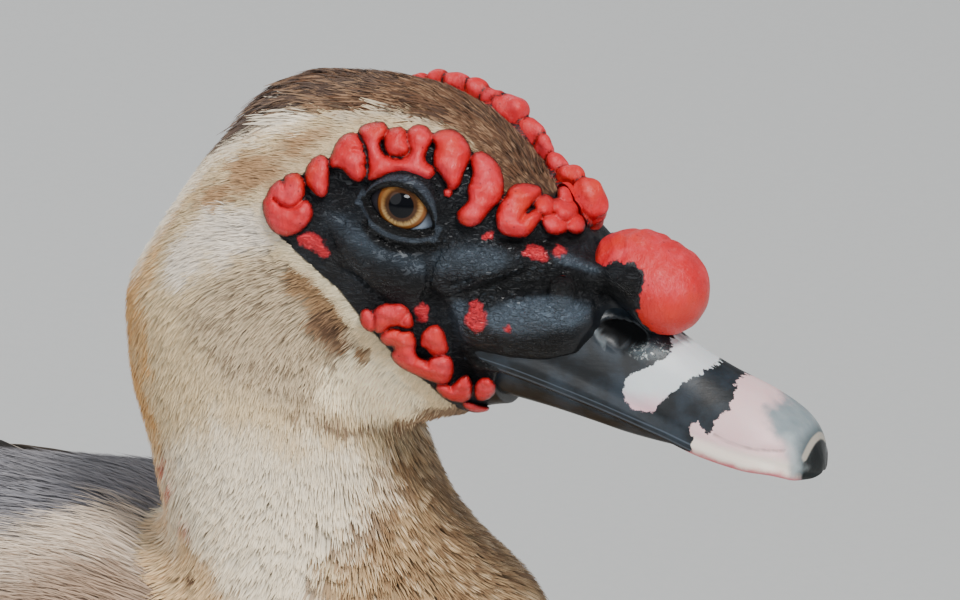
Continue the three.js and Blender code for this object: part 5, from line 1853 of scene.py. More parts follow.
def tufts(name, laid, material, half, strands, fan, tint, thin=0.35, lift=0.35, even=0.0):
    """Tufts of narrow strands that share a root, with a ragged tip or, where even is 1, a round one."""
    line, out, side = laid
    count, rows = line.shape[:2]
    half = np.broadcast_to(half, count)
    t = np.linspace(0, 1, rows)
    s = np.arange(strands)
    place = (s + 0.5) / strands * 2 - 1 + rng.uniform(-0.25, 0.25, (count, strands))
    even = np.reshape(even, (-1, 1))
    share = mix(rng.uniform(0.66, 1.0, (count, strands)), 1 - 0.24 * place**2, even)
    at = t[None, None] * share[..., None]
    length = np.linalg.norm(np.diff(line, axis=1), axis=2).sum(1)
    middle = along_line(line, at)
    up = along_line(out, at)
    across = along_line(side, at)
    offset = place[..., None] * (half[:, None, None] + fan * length[:, None, None] * at)
    bend = rng.normal(0, 0.05, (count, strands)) * (1 - 0.6 * even)
    bend = bend[..., None] * length[:, None, None] * at**2
    high = (rng.uniform(0, lift, (count, strands)) * (1 - 0.7 * even))[..., None] * (0.25 + at)
    middle = middle + (offset + bend)[..., None] * across + high[..., None] * up
    narrow = np.interp(t, [0, 0.3, 0.72, 1], [0.75, 1, 0.8, 0.12])
    wide = np.reshape(thin, (-1, 1, 1)) * narrow * rng.uniform(0.75, 1.25, (count, strands))[..., None]
    roll = (rng.uniform(-0.45, 0.45, (count, strands)) * (1 - 0.6 * even))[..., None, None]
    flat = across * np.cos(roll) + up * np.sin(roll)
    pair = np.array([-1.0, 1.0])
    points = middle[..., None, :] + (wide[..., None] * pair)[..., None] * flat[..., None, :]
    random = rng.random((count, strands))
    shape = points.shape[:-1]
    vane = np.stack([
        np.broadcast_to(pair, shape),
        np.broadcast_to(t[:, None], shape),
        np.broadcast_to(random[..., None, None], shape),
    ], -1)
    tone = tint[:, None] * (1 + 0.16 * (random[..., None] - 0.5))
    tints = np.broadcast_to(tone[:, :, None, None], shape + (3,))
    u = np.broadcast_to(place[..., None, None] * 0.5 + 0.5 * pair / strands, shape)
    v = np.broadcast_to(t[:, None], shape)
    piece(
        name, points.reshape(-1, 3), many_grids(count * strands, rows, 2), material, slot="plumage",
        tint=tints.reshape(-1, 3), vane=vane.reshape(-1, 3), bake=patches(bird_bake(line[:, 0]), u, v),
    )


# The outline of a feather: shares of its length and of its half width
CONTOUR = [(0, 0.3), (0.2, 0.75), (0.5, 1), (0.8, 0.96), (1, 0.72)]
LONG = [(0, 0.45), (0.18, 0.85), (0.66, 1), (0.88, 0.86), (1, 0.42)]
SHORT = [(0, 0.5), (0.25, 0.9), (0.7, 1), (0.9, 0.86), (1, 0.5)]
VANE_STATIONS = 12
VANE_SUNK = 2.0
FLIGHT_VANE = {"shape": LONG, "columns": 7, "rows": 20, "ragged": 0.012, "round_tip": 0.05}
COVERT_VANE = {"shape": SHORT, "columns": 7, "rows": 10, "ragged": 0.05, "round_tip": 0.14}


def vanes(laid, half, shape, columns, rows, ragged, round_tip=0.16, camber=0.4):
    """Whole feathers as thin sheets: points and, on each, across, along and a random number."""
    line, out, side = laid
    count = len(line)
    half = np.broadcast_to(half, count)
    c = np.linspace(-1, 1, columns)
    t = np.linspace(0, 1, rows) ** 0.9  # closer together towards the tip
    split = (np.arange(columns) % 2) * rng.uniform(0.3, 1.0, (count, 1, columns)) * ragged
    at = t[None, :, None] * (1 - round_tip * c**2) - split * smooth_step(0.55, 1.0, t)[:, None]
    middle, up, across = (along_line(values, at) for values in (line, out, side))
    share = np.interp(at, *np.array(shape).T)
    jag = 1 + rng.uniform(-0.06, 0.04, at.shape) * (np.abs(c) > 0.9)
    offset = c * share * half[:, None, None] * jag
    rise = camber * (1 - c**2) * share * smooth_step(0, 0.15, at)
    points = middle + offset[..., None] * across + rise[..., None] * up
    random = np.broadcast_to(rng.random((count, 1, 1)), at.shape)
    vane = np.stack([np.broadcast_to(c, at.shape), at, random], -1)
    return points, vane


def feather_piece(name, sheet, material, tint, roots=None, slot="plumage", replaces=(), flip=False):
    """A piece of many vanes, with bake places at their roots or else in strips."""
    points, vane = sheet
    quads = many_grids(*points.shape[:3])
    bake = strip_bake(vane) if roots is None else patches(roots, vane[..., 0], vane[..., 1])
    tone = np.broadcast_to(tint[:, None, None], points.shape)
    piece(
        name, points.reshape(-1, 3), quads[:, ::-1] if flip else quads, material, slot=slot,
        replaces=replaces, tint=tone.reshape(-1, 3), vane=vane.reshape(-1, 3), bake=bake,
    )


def joined(groups):
    """Pairs of a sheet of vanes and its colours, as one such pair."""
    sheets, tints = zip(*groups)
    return tuple(np.concatenate(parts) for parts in zip(*sheets)), np.concatenate(tints)


def strip_bake(vane):
    """Bake places for long feathers: one strip beside another."""
    count = len(vane)
    index = np.arange(count).reshape(-1, 1, 1)
    u = (index + 0.5 + 0.42 * vane[..., 0]) / count
    return np.stack([0.01 + 0.98 * u, 0.02 + 0.96 * vane[..., 1]], -1).reshape(-1, 2)


def feather_material(name, barb=1.0, gloss=0.0, roughness=0.75, shaft=0.0):
    """Barbs, a shaft and soft shading along each feather or strand."""
    paint = Paint(name, Roughness=roughness, Specular_IOR_Level=0.3 + gloss, Sheen_Weight=0.15,
                  Sheen_Roughness=0.4)
    across, along = paint.parts(paint.attribute("vane", "Vector"))[:2]
    away = paint.math("ABSOLUTE", across)
    lean = paint.minus(paint.times(along, 60.0), paint.times(away, 16.0))
    wave = paint.math("SINE", paint.plus(lean, paint.times(paint.noise(2.2, 3), 7.0)))
    colour = paint.attribute("tint", "Color")
    colour = paint.layer(colour, (0.045, 0.032, 0.022), paint.step(wave, 0.1, 1.0), 0.12 * barb)
    light = paint.blend(1.0, colour, (1.4, 1.36, 1.28), kind="MULTIPLY")
    colour = paint.layer(colour, light, paint.step(along, 0.55, 1.0), 0.85)
    # painted shade towards the root, under the feathers that lie above it
    colour = paint.layer(colour, (0.05, 0.04, 0.035), paint.step(along, 0.3, 0.0), 0.2)
    if shaft:
        colour = paint.layer(colour, (0.035, 0.03, 0.028), paint.step(away, 0.07, 0.03), shaft)
    blotch = paint.times(paint.noise(7, 3), 0.16)
    colour = paint.blend(blotch, colour, (0.16, 0.12, 0.09), kind="MULTIPLY")
    return paint.set(Base_Color=colour, Normal=paint.bump(wave, 0.35 * barb, 0.06))


def flecked(points, tint):
    """Single feathers that are darker on the cheek and brown-tipped on the front of the neck."""
    u, v = photo_place(points)
    cheek, front, crown = (
        polygon_distance(u, v, AREAS[name][-1]) > inside
        for name, inside in (("cheek", 5), ("front neck", -10), ("crown", 0))
    )
    roll = rng.random(len(points))
    for pick, fleck, share in (
        (cheek & (roll < 0.2), rgb(88, 66, 50), 0.6),
        (front & (roll < 0.45), rgb(122, 92, 64), 0.7),
        (front & (roll > 0.85), rgb(214, 192, 158), 0.7),
        (crown & (roll < 0.25), rgb(156, 124, 96), 0.6),
        (crown & (roll > 0.8), rgb(56, 40, 32), 0.7),
    ):
        tint = np.where(pick[:, None], mix(tint, fleck, share), tint)
    return tint * rng.uniform(0.9, 1.08, (len(points), 1))


NECK_ENDS = 128  # how far below the eye the neck's own feathers end
MANTLE_ANGLE = 48  # how far round from the top of the back the loose feathers alone cover it, in degrees


def on_neck(spots):
    """Whether places belong to the head and neck rather than to the body."""
    neck = neck_field(*spots.T) < body_field(*spots.T) - 0.5
    return neck | (spots[:, 2] > EYE[2] - 72)


def head_roots():
    points, quads = net_of(near_flesh.values, near_flesh.low, near_flesh.step)

    def coated(spots):
        x, z = from_eye(spots)
        face = face_distance(x, z)
        return (face < 0.9) & (x < 26) & (z > -100) & on_neck(spots)

    roots = scatter(points, quads, SPACINGS["head and neck"], coated)
    head = scatter(points, quads, SPACINGS["head again"], lambda p: coated(p) & (p[:, 2] > EYE[2] - 50))
    roots = np.concatenate([roots, head])
    return roots[face_distance(*from_eye(roots)) < -0.25]


def border_roots():
    """Places close together along the border of the bare face, on both sides."""
    line = mixed_line(face_outline[: len(FACE_PIXELS)], 460)
    ahead = unit(np.gradient(line, axis=0))
    inward = np.stack([ahead[:, 1], -ahead[:, 0]], 1)
    inward *= np.sign(face_distance(*(line + 0.5 * inward).T))[:, None]
    rows = [line + inward * rng.uniform(low, low + 0.5, (len(line), 1)) for low in (-1.0, -0.55, -0.1)]
    flat = np.concatenate(rows) + rng.normal(0, 0.12, (3 * len(line), 2))
    width = side_width(*flat.T)
    right = EYE + np.stack([flat[:, 0], -width, flat[:, 1]], 1)
    return np.concatenate([right, right * (1, -1, 1)])


def build_head_coat(material):
    roots = head_roots()
    x, z = from_eye(roots)
    face = -face_distance(x, z)
    length = mix(2.6, 6.5, smooth_step(0, 9, face))
    scaly = smooth_step(-46, -72, z) * mix(0.55, 1.0, smooth_step(-22, 4, x - 0.3 * (z + 60)))
    length = mix(length, 8.0, smooth_step(-52, -80, z))
    crown = (z > 4) & (np.abs(roots[:, 1]) < 20)
    rear = smooth_step(2, -40, x) * smooth_step(-6, 8, z)
    length = mix(length, 11.0, rear * crown)
    thin_out = rng.random(len(roots)) < mix(1.0, 0.72, smooth_step(-45, -70, z))
    roots, length, z, x, face, scaly = (values[thin_out] for values in (roots, length, z, x, face, scaly))
    length = length * rng.uniform(0.8, 1.15, len(roots))
    depth = 0.85 * coat_depth(*roots[:, [0, 2]].T)
    rise = 0.1 + 0.4 * smooth_step(2, 10, face)
    turn = rng.normal(0, 0.1, len(roots))
    laid = lay(roots, length, depth, rise, turn=turn)
    tint = 1.12 * flecked(roots, coat_colour(roots))
    half = mix(0.4, 0.9, smooth_step(0, 12, face))
    thin = mix(0.11, 0.2, smooth_step(0, 8, face))
    thin = mix(thin, 0.25, smooth_step(-40, -70, z))
    thin = mix(thin, 0.3, scaly)
    bands = np.digitize(z, [-64, -38, -12])
    for band, name in enumerate(["coat_neck", "coat_nape", "coat_cheek", "coat_crown"]):
        pick = bands == band
        some = some_of(laid, pick)
        tufts(name, some, material, half[pick], 5, 0.07, tint[pick], thin=thin[pick], even=scaly[pick])


def build_face_border(material):
    """Short fine feathers that close the coat's edge round the bare face."""
    roots = set_at(border_roots(), 0.0)[0]
    count = len(roots)
    length, rise = rng.uniform(2.2, 3.4, count), rng.uniform(0.1, 0.35, count)
    laid = lay(roots, length, 0.25, rise, turn=rng.normal(0, 0.22, count))
    tint = 1.1 * flecked(roots, coat_colour(roots))
    tufts("coat_face_border", laid, material, 0.3, 5, 0.1, tint, thin=0.11, lift=0.2)


def build_crest(material):
    """The long loose feathers of the crown, ragged at the back of the head."""
    count = 620
    u = rng.uniform(0, 1, count)
    x = EYE[0] + mix(18, -30, u)
    y = rng.normal(0, 1, count) * mix(3.0, 8.5, u)
    z = EYE[2] + head_top(x - EYE[0]) + 1.0
    roots = set_at(np.stack([x, y, z], 1), np.full(count, -0.6))[0]
    length = mix(9, 15, u) * rng.uniform(0.75, 1.2, count)
    rise = mix(0.2, 1.7, smooth_step(0.5, 1, u)) * rng.uniform(0.4, 1.15, count)
    laid = lay(roots, length, 1.0, rise, stations=5, turn=rng.normal(0, 0.13, count))
    tint = flecked(roots, coat_colour(roots))
    tufts("crest", laid, material, 0.9, 5, 0.05, tint, thin=0.3)


def under_wing(points, margin):
    """Whether places lie below the folded wing, further than margin degrees inside its edges."""
    x = points[:, 0]
    angle = section_angle(points)
    inside = (angle > wing_top(x) + margin) & (angle < wing_low(x) - margin)
    return inside & (x > WING_COVERS[0]) & (x < WING_COVERS[1])


def section_angle(points):
    """The angle of places round the body, from its top down each side, in degrees."""
    half, middle, above, below = body_section(points[:, 0])
    rise = points[:, 2] - middle
    reach = np.where(rise > 0, above, below)
    power = BODY_BULGE / 2
    across = np.abs(np.abs(points[:, 1]) / half) ** power
    up = np.sign(rise) * np.abs(rise / reach) ** power
    return np.degrees(np.arctan2(across, up))


def build_body_coat(material):
    points, quads = net_of(wide_flesh.values, wide_flesh.low, wide_flesh.step)

    def lower_neck(spots):
        z = spots[:, 2] - EYE[2]
        return (z < -94) & (z > -142) & on_neck(spots)

    roots = scatter(points, quads, SPACINGS["neck base"], lower_neck)
    z = roots[:, 2] - EYE[2]
    length = mix(9, 13, smooth_step(-95, -135, z)) * rng.uniform(0.8, 1.15, len(roots))
    depth = 0.8 * coat_depth(*roots[:, [0, 2]].T)
    laid = lay(roots, length, depth, 0.6, turn=rng.normal(0, 0.1, len(roots)))
    tint = flecked(roots, coat_colour(roots))
    tufts("coat_neck_base", laid, material, 2.0, 6, 0.07, tint, thin=0.42, lift=0.6)

    def trunk(spots):
        x, z = spots[:, 0], spots[:, 2]
        other = (z > EYE[2] - NECK_ENDS) & on_neck(spots)
        other |= (section_angle(spots) < MANTLE_ANGLE) & (x > 84) & (x < 208)
        return ~other & ~under_wing(spots, 9) & (z > 84) & (x > -262)

    roots = scatter(points, quads, SPACINGS["body"], trunk)
    breast = scatter(points, quads, SPACINGS["breast again"], lambda p: trunk(p) & (p[:, 0] > 185))
    roots = np.concatenate([roots, breast])
    x, z = roots[:, 0], roots[:, 2]
    thigh = smooth_step(112, 92, z) * (x < 75) * (x > -20)
    length = mix(27, 19, smooth_step(180, 260, x))
    length = mix(length, 21, smooth_step(-120, -190, x))
    length = mix(length, 13, thigh) * rng.uniform(0.85, 1.12, len(roots))
    half = 0.31 * length
    depth = 0.6 * coat_depth(x, z)
    rise = (0.5 + 0.5 * rng.random(len(roots))) * mix(1.0, 0.25, smooth_step(170, 235, roots[:, 0]))
    laid = lay(roots, length, depth, rise, stations=5, turn=rng.normal(0, 0.12, len(roots)))
    tint = coat_colour(roots) * rng.uniform(0.88, 1.08, (len(roots), 1))
    sheet = vanes(laid, half, CONTOUR, columns=7, rows=5, ragged=0.12, camber=0.5)
    bake = bird_bake(roots)
    front = x > 60
    for name, pick in (("coat_breast", front), ("coat_rear", ~front)):
        feather_piece(name, some_of(sheet, pick), material, tint[pick], roots=bake[pick])
    tufts("coat_down", laid, material, 0.55 * half, 3, 0.12, tint, thin=0.55, lift=0.7)


# The wings, folded on the body's own side: angles down from its top at each x
WING_COVERS = (-105, 190)  # the x between which the wing hides the body
FLIGHT_TIERS = ("primaries", "secondaries", "tertials")
WING_REAR, WING_FRONT = -118, 204
wing_top = Curve([(WING_REAR, 34), (0, 28), (100, 28), (160, 38), (WING_FRONT, 60)])
wing_low = Curve([(WING_REAR, 78), (-40, 98), (60, 116), (130, 118), (180, 106), (WING_FRONT, 84)])
wing_thick = Curve([(WING_REAR, 4), (-20, 6.5), (80, 9), (150, 11), (190, 9), (WING_FRONT, 3)])
WING_TIERS = [
    # name, count, half width, height on the wing and tilt,
    # then the roots and the tips of the lowest and the highest feather, as (x, angle)
    ("primaries", 8, 10, 1.2, 5, [(-58, 80), (-70, 50)], [(-178, 64), (-222, 32)]),
    ("secondaries", 11, 11, 2.0, 7, [(52, 110), (30, 64)], [(-64, 102), (-136, 60)]),
    ("tertials", 5, 14, 2.4, 7, [(40, 66), (46, 46)], [(-152, 56), (-126, 35)]),
    ("greater_coverts", 13, 9.5, 2.9, 7, [(100, 112), (80, 50)], [(34, 106), (8, 47)]),
    ("median_coverts", 14, 9, 3.3, 7, [(132, 112), (116, 48)], [(82, 107), (60, 46)]),
    ("lesser_coverts_1", 15, 8.5, 3.0, 6, [(152, 112), (138, 46)], [(110, 108), (92, 44)]),
    ("lesser_coverts_2", 14, 8, 2.6, 6, [(170, 110), (156, 50)], [(132, 109), (116, 47)]),
    ("lesser_coverts_3", 12, 7.5, 2.0, 5, [(186, 104), (172, 56)], [(152, 108), (136, 50)]),
    ("lesser_coverts_4", 9, 7, 1.2, 5, [(199, 92), (192, 66)], [(168, 101), (156, 58)]),
]
SCAPULARS = [
    ("scapulars_1", 6, 13, -0.7, 4, [(96, 52), (88, 30)], [(8, 52), (-14, 36)]),
    ("scapulars_2", 7, 12, -1.0, 4, [(130, 54), (122, 30)], [(52, 54), (36, 34)]),
    ("scapulars_3", 7, 11, -1.6, 4, [(160, 56), (152, 34)], [(92, 54), (80, 33)]),
]


def body_point(x, angle):
    half, middle, above, below = body_section(x)
    s, c = np.sin(angle), np.cos(angle)
    reach = np.where(c > 0, above, below)
    y = half * np.sign(s) * np.abs(s) ** (2 / BODY_BULGE)
    z = middle + reach * np.sign(c) * np.abs(c) ** (2 / BODY_BULGE)
    return np.stack([x + 0 * y, y, z], -1)


def off_body(x, degrees, lift):
    """Places on the body's left side at an angle and height, with the ways out and down there."""
    angle = np.radians(degrees)
    place = body_point(x, angle)
    down = unit(body_point(x, angle + 0.01) - body_point(x, angle - 0.01))
    ahead = unit(body_point(x + 1, angle) - body_point(x - 1, angle))
    out = unit(np.cross(ahead, down))
    out = out * np.sign((out * (place - np.array([0, 0, 160]))).sum(-1, keepdims=True) + 1e-9)
    return place + out * np.asarray(lift)[..., None], out, down


def wing_height(x, angle):
    top, low = wing_top(x), wing_low(x)
    t = np.clip((angle - top) / (low - top), 0.03, 0.92)
    on = smooth_step(-150, -110, x)
    return (wing_thick(x) * np.sin(np.pi * t) ** 0.6 - 1.5) * on


def tier_lines(count, height, tilt, root, tip):
    """A tier of feathers from their roots under the tier ahead to their tips, on the left wing."""
    share = np.linspace(0, 1, count)
    s = np.linspace(0, 1, VANE_STATIONS)
    pair = [mix(np.array(ends[0], float), np.array(ends[1], float), share[:, None]) for ends in (root, tip)]
    pair[1] = pair[1] + rng.uniform(-1, 1, pair[1].shape) * (2.0, 0.5)
    x = mix(pair[0][:, None, 0], pair[1][:, None, 0], s)
    angle = mix(pair[0][:, None, 1], pair[1][:, None, 1], s)
    rise = height * smooth_step(0, 0.45, s) - VANE_SUNK * smooth_step(0.3, 0, s)
    place, out, down = off_body(x, angle, wing_height(x, angle) + rise)
    lean = np.radians(tilt)
    across = down * np.cos(lean) + out * np.sin(lean)
    face = out * np.cos(lean) - down * np.sin(lean)
    return place, face, across


SLATE, TAUPE, CREAM = rgb(92, 96, 104), rgb(134, 124, 116), rgb(196, 180, 160)
TIER_TINTS = {
    # the colours of a tier's lowest and highest feather, by the first word of its name
    "primaries": (rgb(120, 114, 110), rgb(84, 84, 90)),
    "secondaries": (rgb(138, 130, 124), SLATE),
    "tertials": (SLATE, rgb(100, 104, 112)),
    "scapulars": (rgb(150, 138, 126), rgb(176, 160, 144)),
    "greater": (CREAM, TAUPE),
    "median": (CREAM, rgb(160, 148, 134)),
    "lesser": (CREAM, rgb(160, 148, 134)),
}


def wing_tint(name, count):
    """The colours of a tier from its lowest to its highest feather."""
    low, high = TIER_TINTS[name.split("_")[0]]
    tint = mix(low, high, np.linspace(0, 1, count)[:, None])
    return tint * rng.uniform(0.9, 1.08, (count, 1))


def build_wings(material, flight):
    steps, over = 60, 26
    x = np.linspace(WING_REAR, WING_FRONT, steps)[:, None]
    t = np.linspace(0, 1, over)
    angle = wing_top(x) + t * (wing_low(x) - wing_top(x))
    lift = wing_thick(x) * np.sin(np.pi * t) ** 0.6 - 1.9
    outer = off_body(x + 0 * t, angle, lift)[0]
    back = np.linspace(0.85, 0.15, 6)
    angle = wing_top(x) + back * (wing_low(x) - wing_top(x))
    inner = off_body(x + 0 * back, angle, np.full(angle.shape, -9.0))[0]
    core = np.concatenate([outer, inner], 1)
    round_core = core.shape[1]
    quads = grid_quads(steps, round_core, wrap=True)
    for side, way in (("left", 1), ("right", -1)):
        mirror = np.array([1, way, 1])
        points = core.reshape(-1, 3) * mirror
        share = np.tile(np.concatenate([t, back]), steps)
        tint = mix(rgb(150, 140, 126), rgb(186, 172, 152), share[:, None])
        vane = np.stack([share * 2 - 1, np.repeat(np.linspace(1, 0, steps), round_core), share], 1)
        piece(
            f"wing_{side}_core", points, quads[:, ::-way], material,
            replaces=[f"wing_{side}"], slot="plumage",
            caps=[ring[::way] for ring in end_caps(steps, round_core)],
            tint=tint, vane=vane,
            bake=spread_bake(points[:, 0], np.tile(np.arange(round_core), steps)),
        )
        small, long = [], []
        for name, count, half, height, tilt, root, tip in WING_TIERS + SCAPULARS:
            lines = tuple(part * mirror for part in tier_lines(count, height, tilt, root, tip))
            group, kind = (long, FLIGHT_VANE) if name in FLIGHT_TIERS else (small, COVERT_VANE)
            sheet = vanes(lines, half, camber=1.0, **kind)
            group.append((sheet, wing_tint(name, count)))
        for group, name, slot, paint in (
            (long, "flight_feathers", "flight_feathers", flight),
            (small, "coverts", "plumage", material),
        ):
            sheet, tint = joined(group)
            feather_piece(f"{name}_{side}", sheet, paint, tint, slot=slot, flip=way > 0)


# The back's dark and brown areas, in pixels, reaching past the frame on its left
MANTLE_DARK = [
    (-400, 400), (240, 400), (200, 480), (170, 505), (150, 506), (100, 498), (75, 498), (45, 515), (0, 530),
    (-400, 560),
]
MANTLE_BROWN = [(-400, 590), (0, 578), (60, 562), (110, 560), (190, 580), (190, 800), (-400, 800)]


def build_mantle(material):
    """Long loose feathers over the shoulders and front of the back, and on the wings' upper edges."""
    front, edge = 4500, 1400
    count = front + edge
    x = np.concatenate([214 - 150 * rng.uniform(0, 1, front) ** 1.2, rng.uniform(-128, 120, edge)])
    over_edge = wing_top(x[front:]) + rng.uniform(-13, 7, edge)
    degrees = np.concatenate([rng.uniform(-58, 58, front), over_edge * rng.choice([-1, 1], edge)])
    on_edge = (np.arange(count) >= front)[:, None]
    length = rng.uniform(17, 27, count)
    s = np.linspace(0, 1, 5)
    along = x[:, None] - length[:, None] * s
    angle = np.abs(degrees)[:, None] + 5 * s * rng.uniform(-0.4, 1.0, (count, 1))
    over = np.maximum(wing_height(along, angle), 0) * smooth_step(200, 170, along)
    lift = over + mix(-3.2, 1.0 + 1.7 * on_edge, s**0.6) * rng.uniform(0.8, 1.1, (count, 1)) + 0.2
    place, out, down = off_body(along, angle, lift)
    mirror = np.stack([np.ones(count), np.sign(degrees), np.ones(count)], 1)[:, None]
    laid = (place * mirror, out * mirror, down * mirror)
    roots = laid[0][:, 0]
    keep = ~on_neck(roots) | (roots[:, 2] < EYE[2] - NECK_ENDS)
    laid = some_of(laid, keep)
    roots = roots[keep]
    behind = smooth_step(82, 52, roots[:, 0])[:, None]
    seen = in_photo(laid[0][:, 3] - EYE)
    inside = [polygon_distance(*seen, outline) / PIXELS_PER_MM for outline in (MANTLE_DARK, MANTLE_BROWN)]
    wobble = 1.5 * slow_noise(roots, 12.0)
    tint = np.broadcast_to(rgb(226, 210, 192), (len(roots), 3))
    tint = mix(tint, rgb(172, 148, 128), smooth_step(-4, 4, inside[1] + wobble)[:, None])
    dark = smooth_step(-1.5, 1.5, inside[0] + 0.5 * wobble)
    tint = mix(tint, rgb(140, 139, 146), dark[:, None])
    tint = mix(tint, coat_colour(roots), behind)
    roll = rng.random(len(roots))[:, None]
    tint = np.where(roll < 0.12, 0.84 * tint, np.where(roll > 0.86, 1.1 * tint, tint))
    for name, side in (("left", 1), ("right", -1)):
        pick = np.sign(degrees[keep]) == side
        some = some_of(laid, pick)
        tufts(f"coat_mantle_{name}", some, material, 2.6, 7, 0.05, tint[pick], thin=0.2, lift=0.5)


# The tail
# Fans: count, root's x, half width and z, spread, length, how much shorter outside, step and slope
TAIL_COUNT = 18
TAIL_FAN = (TAIL_COUNT, -152, 13, 202, 25.0, TAIL_FEATHER, 0.26, 1.3, 0.055)
TAIL_COVERTS = [
    (9, -196, 15, 208.5, 20, 78, 0.2, 0.5, 0.075),
    (9, -176, 19, 213.0, 18, 70, 0.2, 0.6, 0.1),
    (8, -186, 11, 178.0, 18, 88, 0.2, -0.4, -0.06),
    (8, -168, 14, 170.0, 16, 78, 0.2, -0.5, -0.1),
]


def fan_lines(count, root_x, root_half, root_z, spread, length, shorter, step, slope):
    """A fan of feathers over the rump, the middle pair on top."""
    place = np.linspace(-1, 1, count)
    share = np.abs(place)
    heading = np.radians(spread) * place
    reach = length * (1 - shorter * share**2)
    s = np.linspace(0, 1, VANE_STATIONS)
    run = reach[:, None] * s
    x = root_x - np.cos(heading)[:, None] * run
    y = root_half * place[:, None] + np.sin(heading)[:, None] * run
    z = root_z - step * share[:, None] * count / 2 - slope * run
    line = np.stack([x, y, z], -1)
    side = unit(np.stack([np.sin(heading), np.cos(heading), -0.06 * place], -1))
    side = np.broadcast_to(side[:, None], line.shape)
    way = np.gradient(line, axis=1)
    out = unit(np.cross(unit(way), side))
    out = out * np.sign(out[..., 2:3])
    return line, out, side


def build_tail(material, flight):
    lines = fan_lines(*TAIL_FAN)
    sheet = vanes(lines, 12.0, LONG, columns=9, rows=22, ragged=0.01, round_tip=0.06, camber=0.9)
    share = np.abs(np.linspace(-1, 1, TAIL_COUNT))
    tint = mix(rgb(96, 94, 96), rgb(128, 120, 114), share[:, None])
    feather_piece("tail_feathers", sheet, flight, tint, slot="tail_feathers", replaces=["tail"])
    groups = []
    for fan in TAIL_COVERTS:
        count, root_z = fan[0], fan[3]
        tint = rgb(140, 130, 120) if root_z > 190 else rgb(186, 174, 156)
        sheet = vanes(fan_lines(*fan), 10.0, **COVERT_VANE)
        groups.append((sheet, np.broadcast_to(tint, (count, 3))))
    sheet, tint = joined(groups)
    feather_piece("tail_coverts", sheet, material, tint)


# The legs
TOES = [(-24, 56.8, 5.6), (2, 66, 6.0), (27, 60.7, 5.6)]  # degrees outward, length, radius
HIND_TOE = (170, 21)  # degrees outward, length
CLAW_ROWS, CLAW_COLUMNS = 12, 14
FOOT_STEP = 0.8
SHANK_STEP = 0.9


def leg_material():
    """Scaly skin, dusky olive grey with yellowish patches."""
    paint = Paint("leg")
    cloud = paint.noise(9, 4)
    colour = paint.blend(paint.step(cloud, 0.35, 0.7), rgb(84, 82, 72), rgb(150, 132, 88))
    colour = paint.layer(colour, rgb(56, 56, 54), paint.step(paint.noise(4, 3), 0.6, 0.75))
    scales = paint.cells(2.0, feature="DISTANCE_TO_EDGE")
    colour = paint.layer(colour, rgb(44, 42, 38), paint.step(scales, 0.16, 0.0), 0.55)
    normal = paint.bump(paint.step(scales, 0.0, 0.3), 0.6, 0.3)
    normal = paint.bump(paint.noise(0.6, 3), 0.35, 0.08, normal)
    return paint.set(Base_Color=colour, Roughness=paint.between(0.4, 0.6, cloud), Normal=normal)


def claw_material():
    paint = Paint("claw", Roughness=0.35)
    long = paint.noise(1.5, 4, stretch=(0.3, 1.5, 1.5))
    colour = paint.blend(long, rgb(58, 52, 46), rgb(128, 116, 96))
    return paint.set(Base_Color=colour, Normal=paint.bump(long, 0.4, 0.1))


def toe_line(degrees, length, radius):
    angle = np.radians(degrees)
    way = np.array([np.cos(angle), np.sin(angle), 0])
    steps = [(-5, 9, radius + 0.6), (0.14 * length, 6.3, radius + 0.3), (0.45 * length, 3.8, 0.78 * radius),
             (0.85 * length, 3.1, 0.7 * radius), (length, 2.7, 0.42 * radius)]
    base = np.array([TOE_JOINT[0], LEG_SPREAD, 0])
    line = np.array([base + way * s + (0, 0, z) for s, z, r in steps])
    return line, np.array([r for s, z, r in steps])


def foot_field(x, y, z):
    joint = np.array([TOE_JOINT[0], LEG_SPREAD, 10])
    share = np.sqrt(((x - joint[0]) / 9) ** 2 + ((y - joint[1]) / 8) ** 2 + ((z - joint[2]) / 9) ** 2)
    values = (share - 1) * 8
    for toe in TOES:
        line, radii = toe_line(*toe)
        way = unit(line[-1, :2] - line[0, :2])
        s = (x - line[0, 0]) * way[0] + (y - line[0, 1]) * way[1]
        scutes = 0.22 * np.abs(np.sin(np.pi * s / 3.4)) ** 0.6 * smooth_step(2, 4, z)
        one = chain_field(x, y, z, line, radii) + 0.1 - scutes
        values = smooth_min(values, one, 3)
    hind = joint + [(0, 0, 0), (-12, 0.6, -4.4), (-22, 2, -6.8)]
    values = smooth_min(values, chain_field(x, y, z, hind, [4, 3.4, 2.4]), 2)
    base = np.array([TOE_JOINT[0], LEG_SPREAD])
    dx, dy = x - base[0], y - base[1]
    far, heading = np.hypot(dx, dy), np.degrees(np.arctan2(dy, dx))
    for (da, la, _), (db, lb, _) in zip(TOES[:-1], TOES[1:]):
        share = np.clip((heading - da) / (db - da), 0, 1)
        edge = mix(0.93 * la, 0.93 * lb, share) * (1 - 0.26 * np.sin(np.pi * share) ** 0.8)
        inside = np.maximum(far - edge, np.maximum(da - heading, heading - db) * 0.5)
        middle = mix(1.3, 5.2, smooth_step(22, 6, far)) + 0.25 * np.sin(far * 0.9 + share * 5)
        half = mix(0.9, 2.4, smooth_step(24, 4, far))
        values = smooth_min(values, np.maximum(np.abs(z - middle) - half, inside), 1.2)
    return np.maximum(values, 0.05 - z)


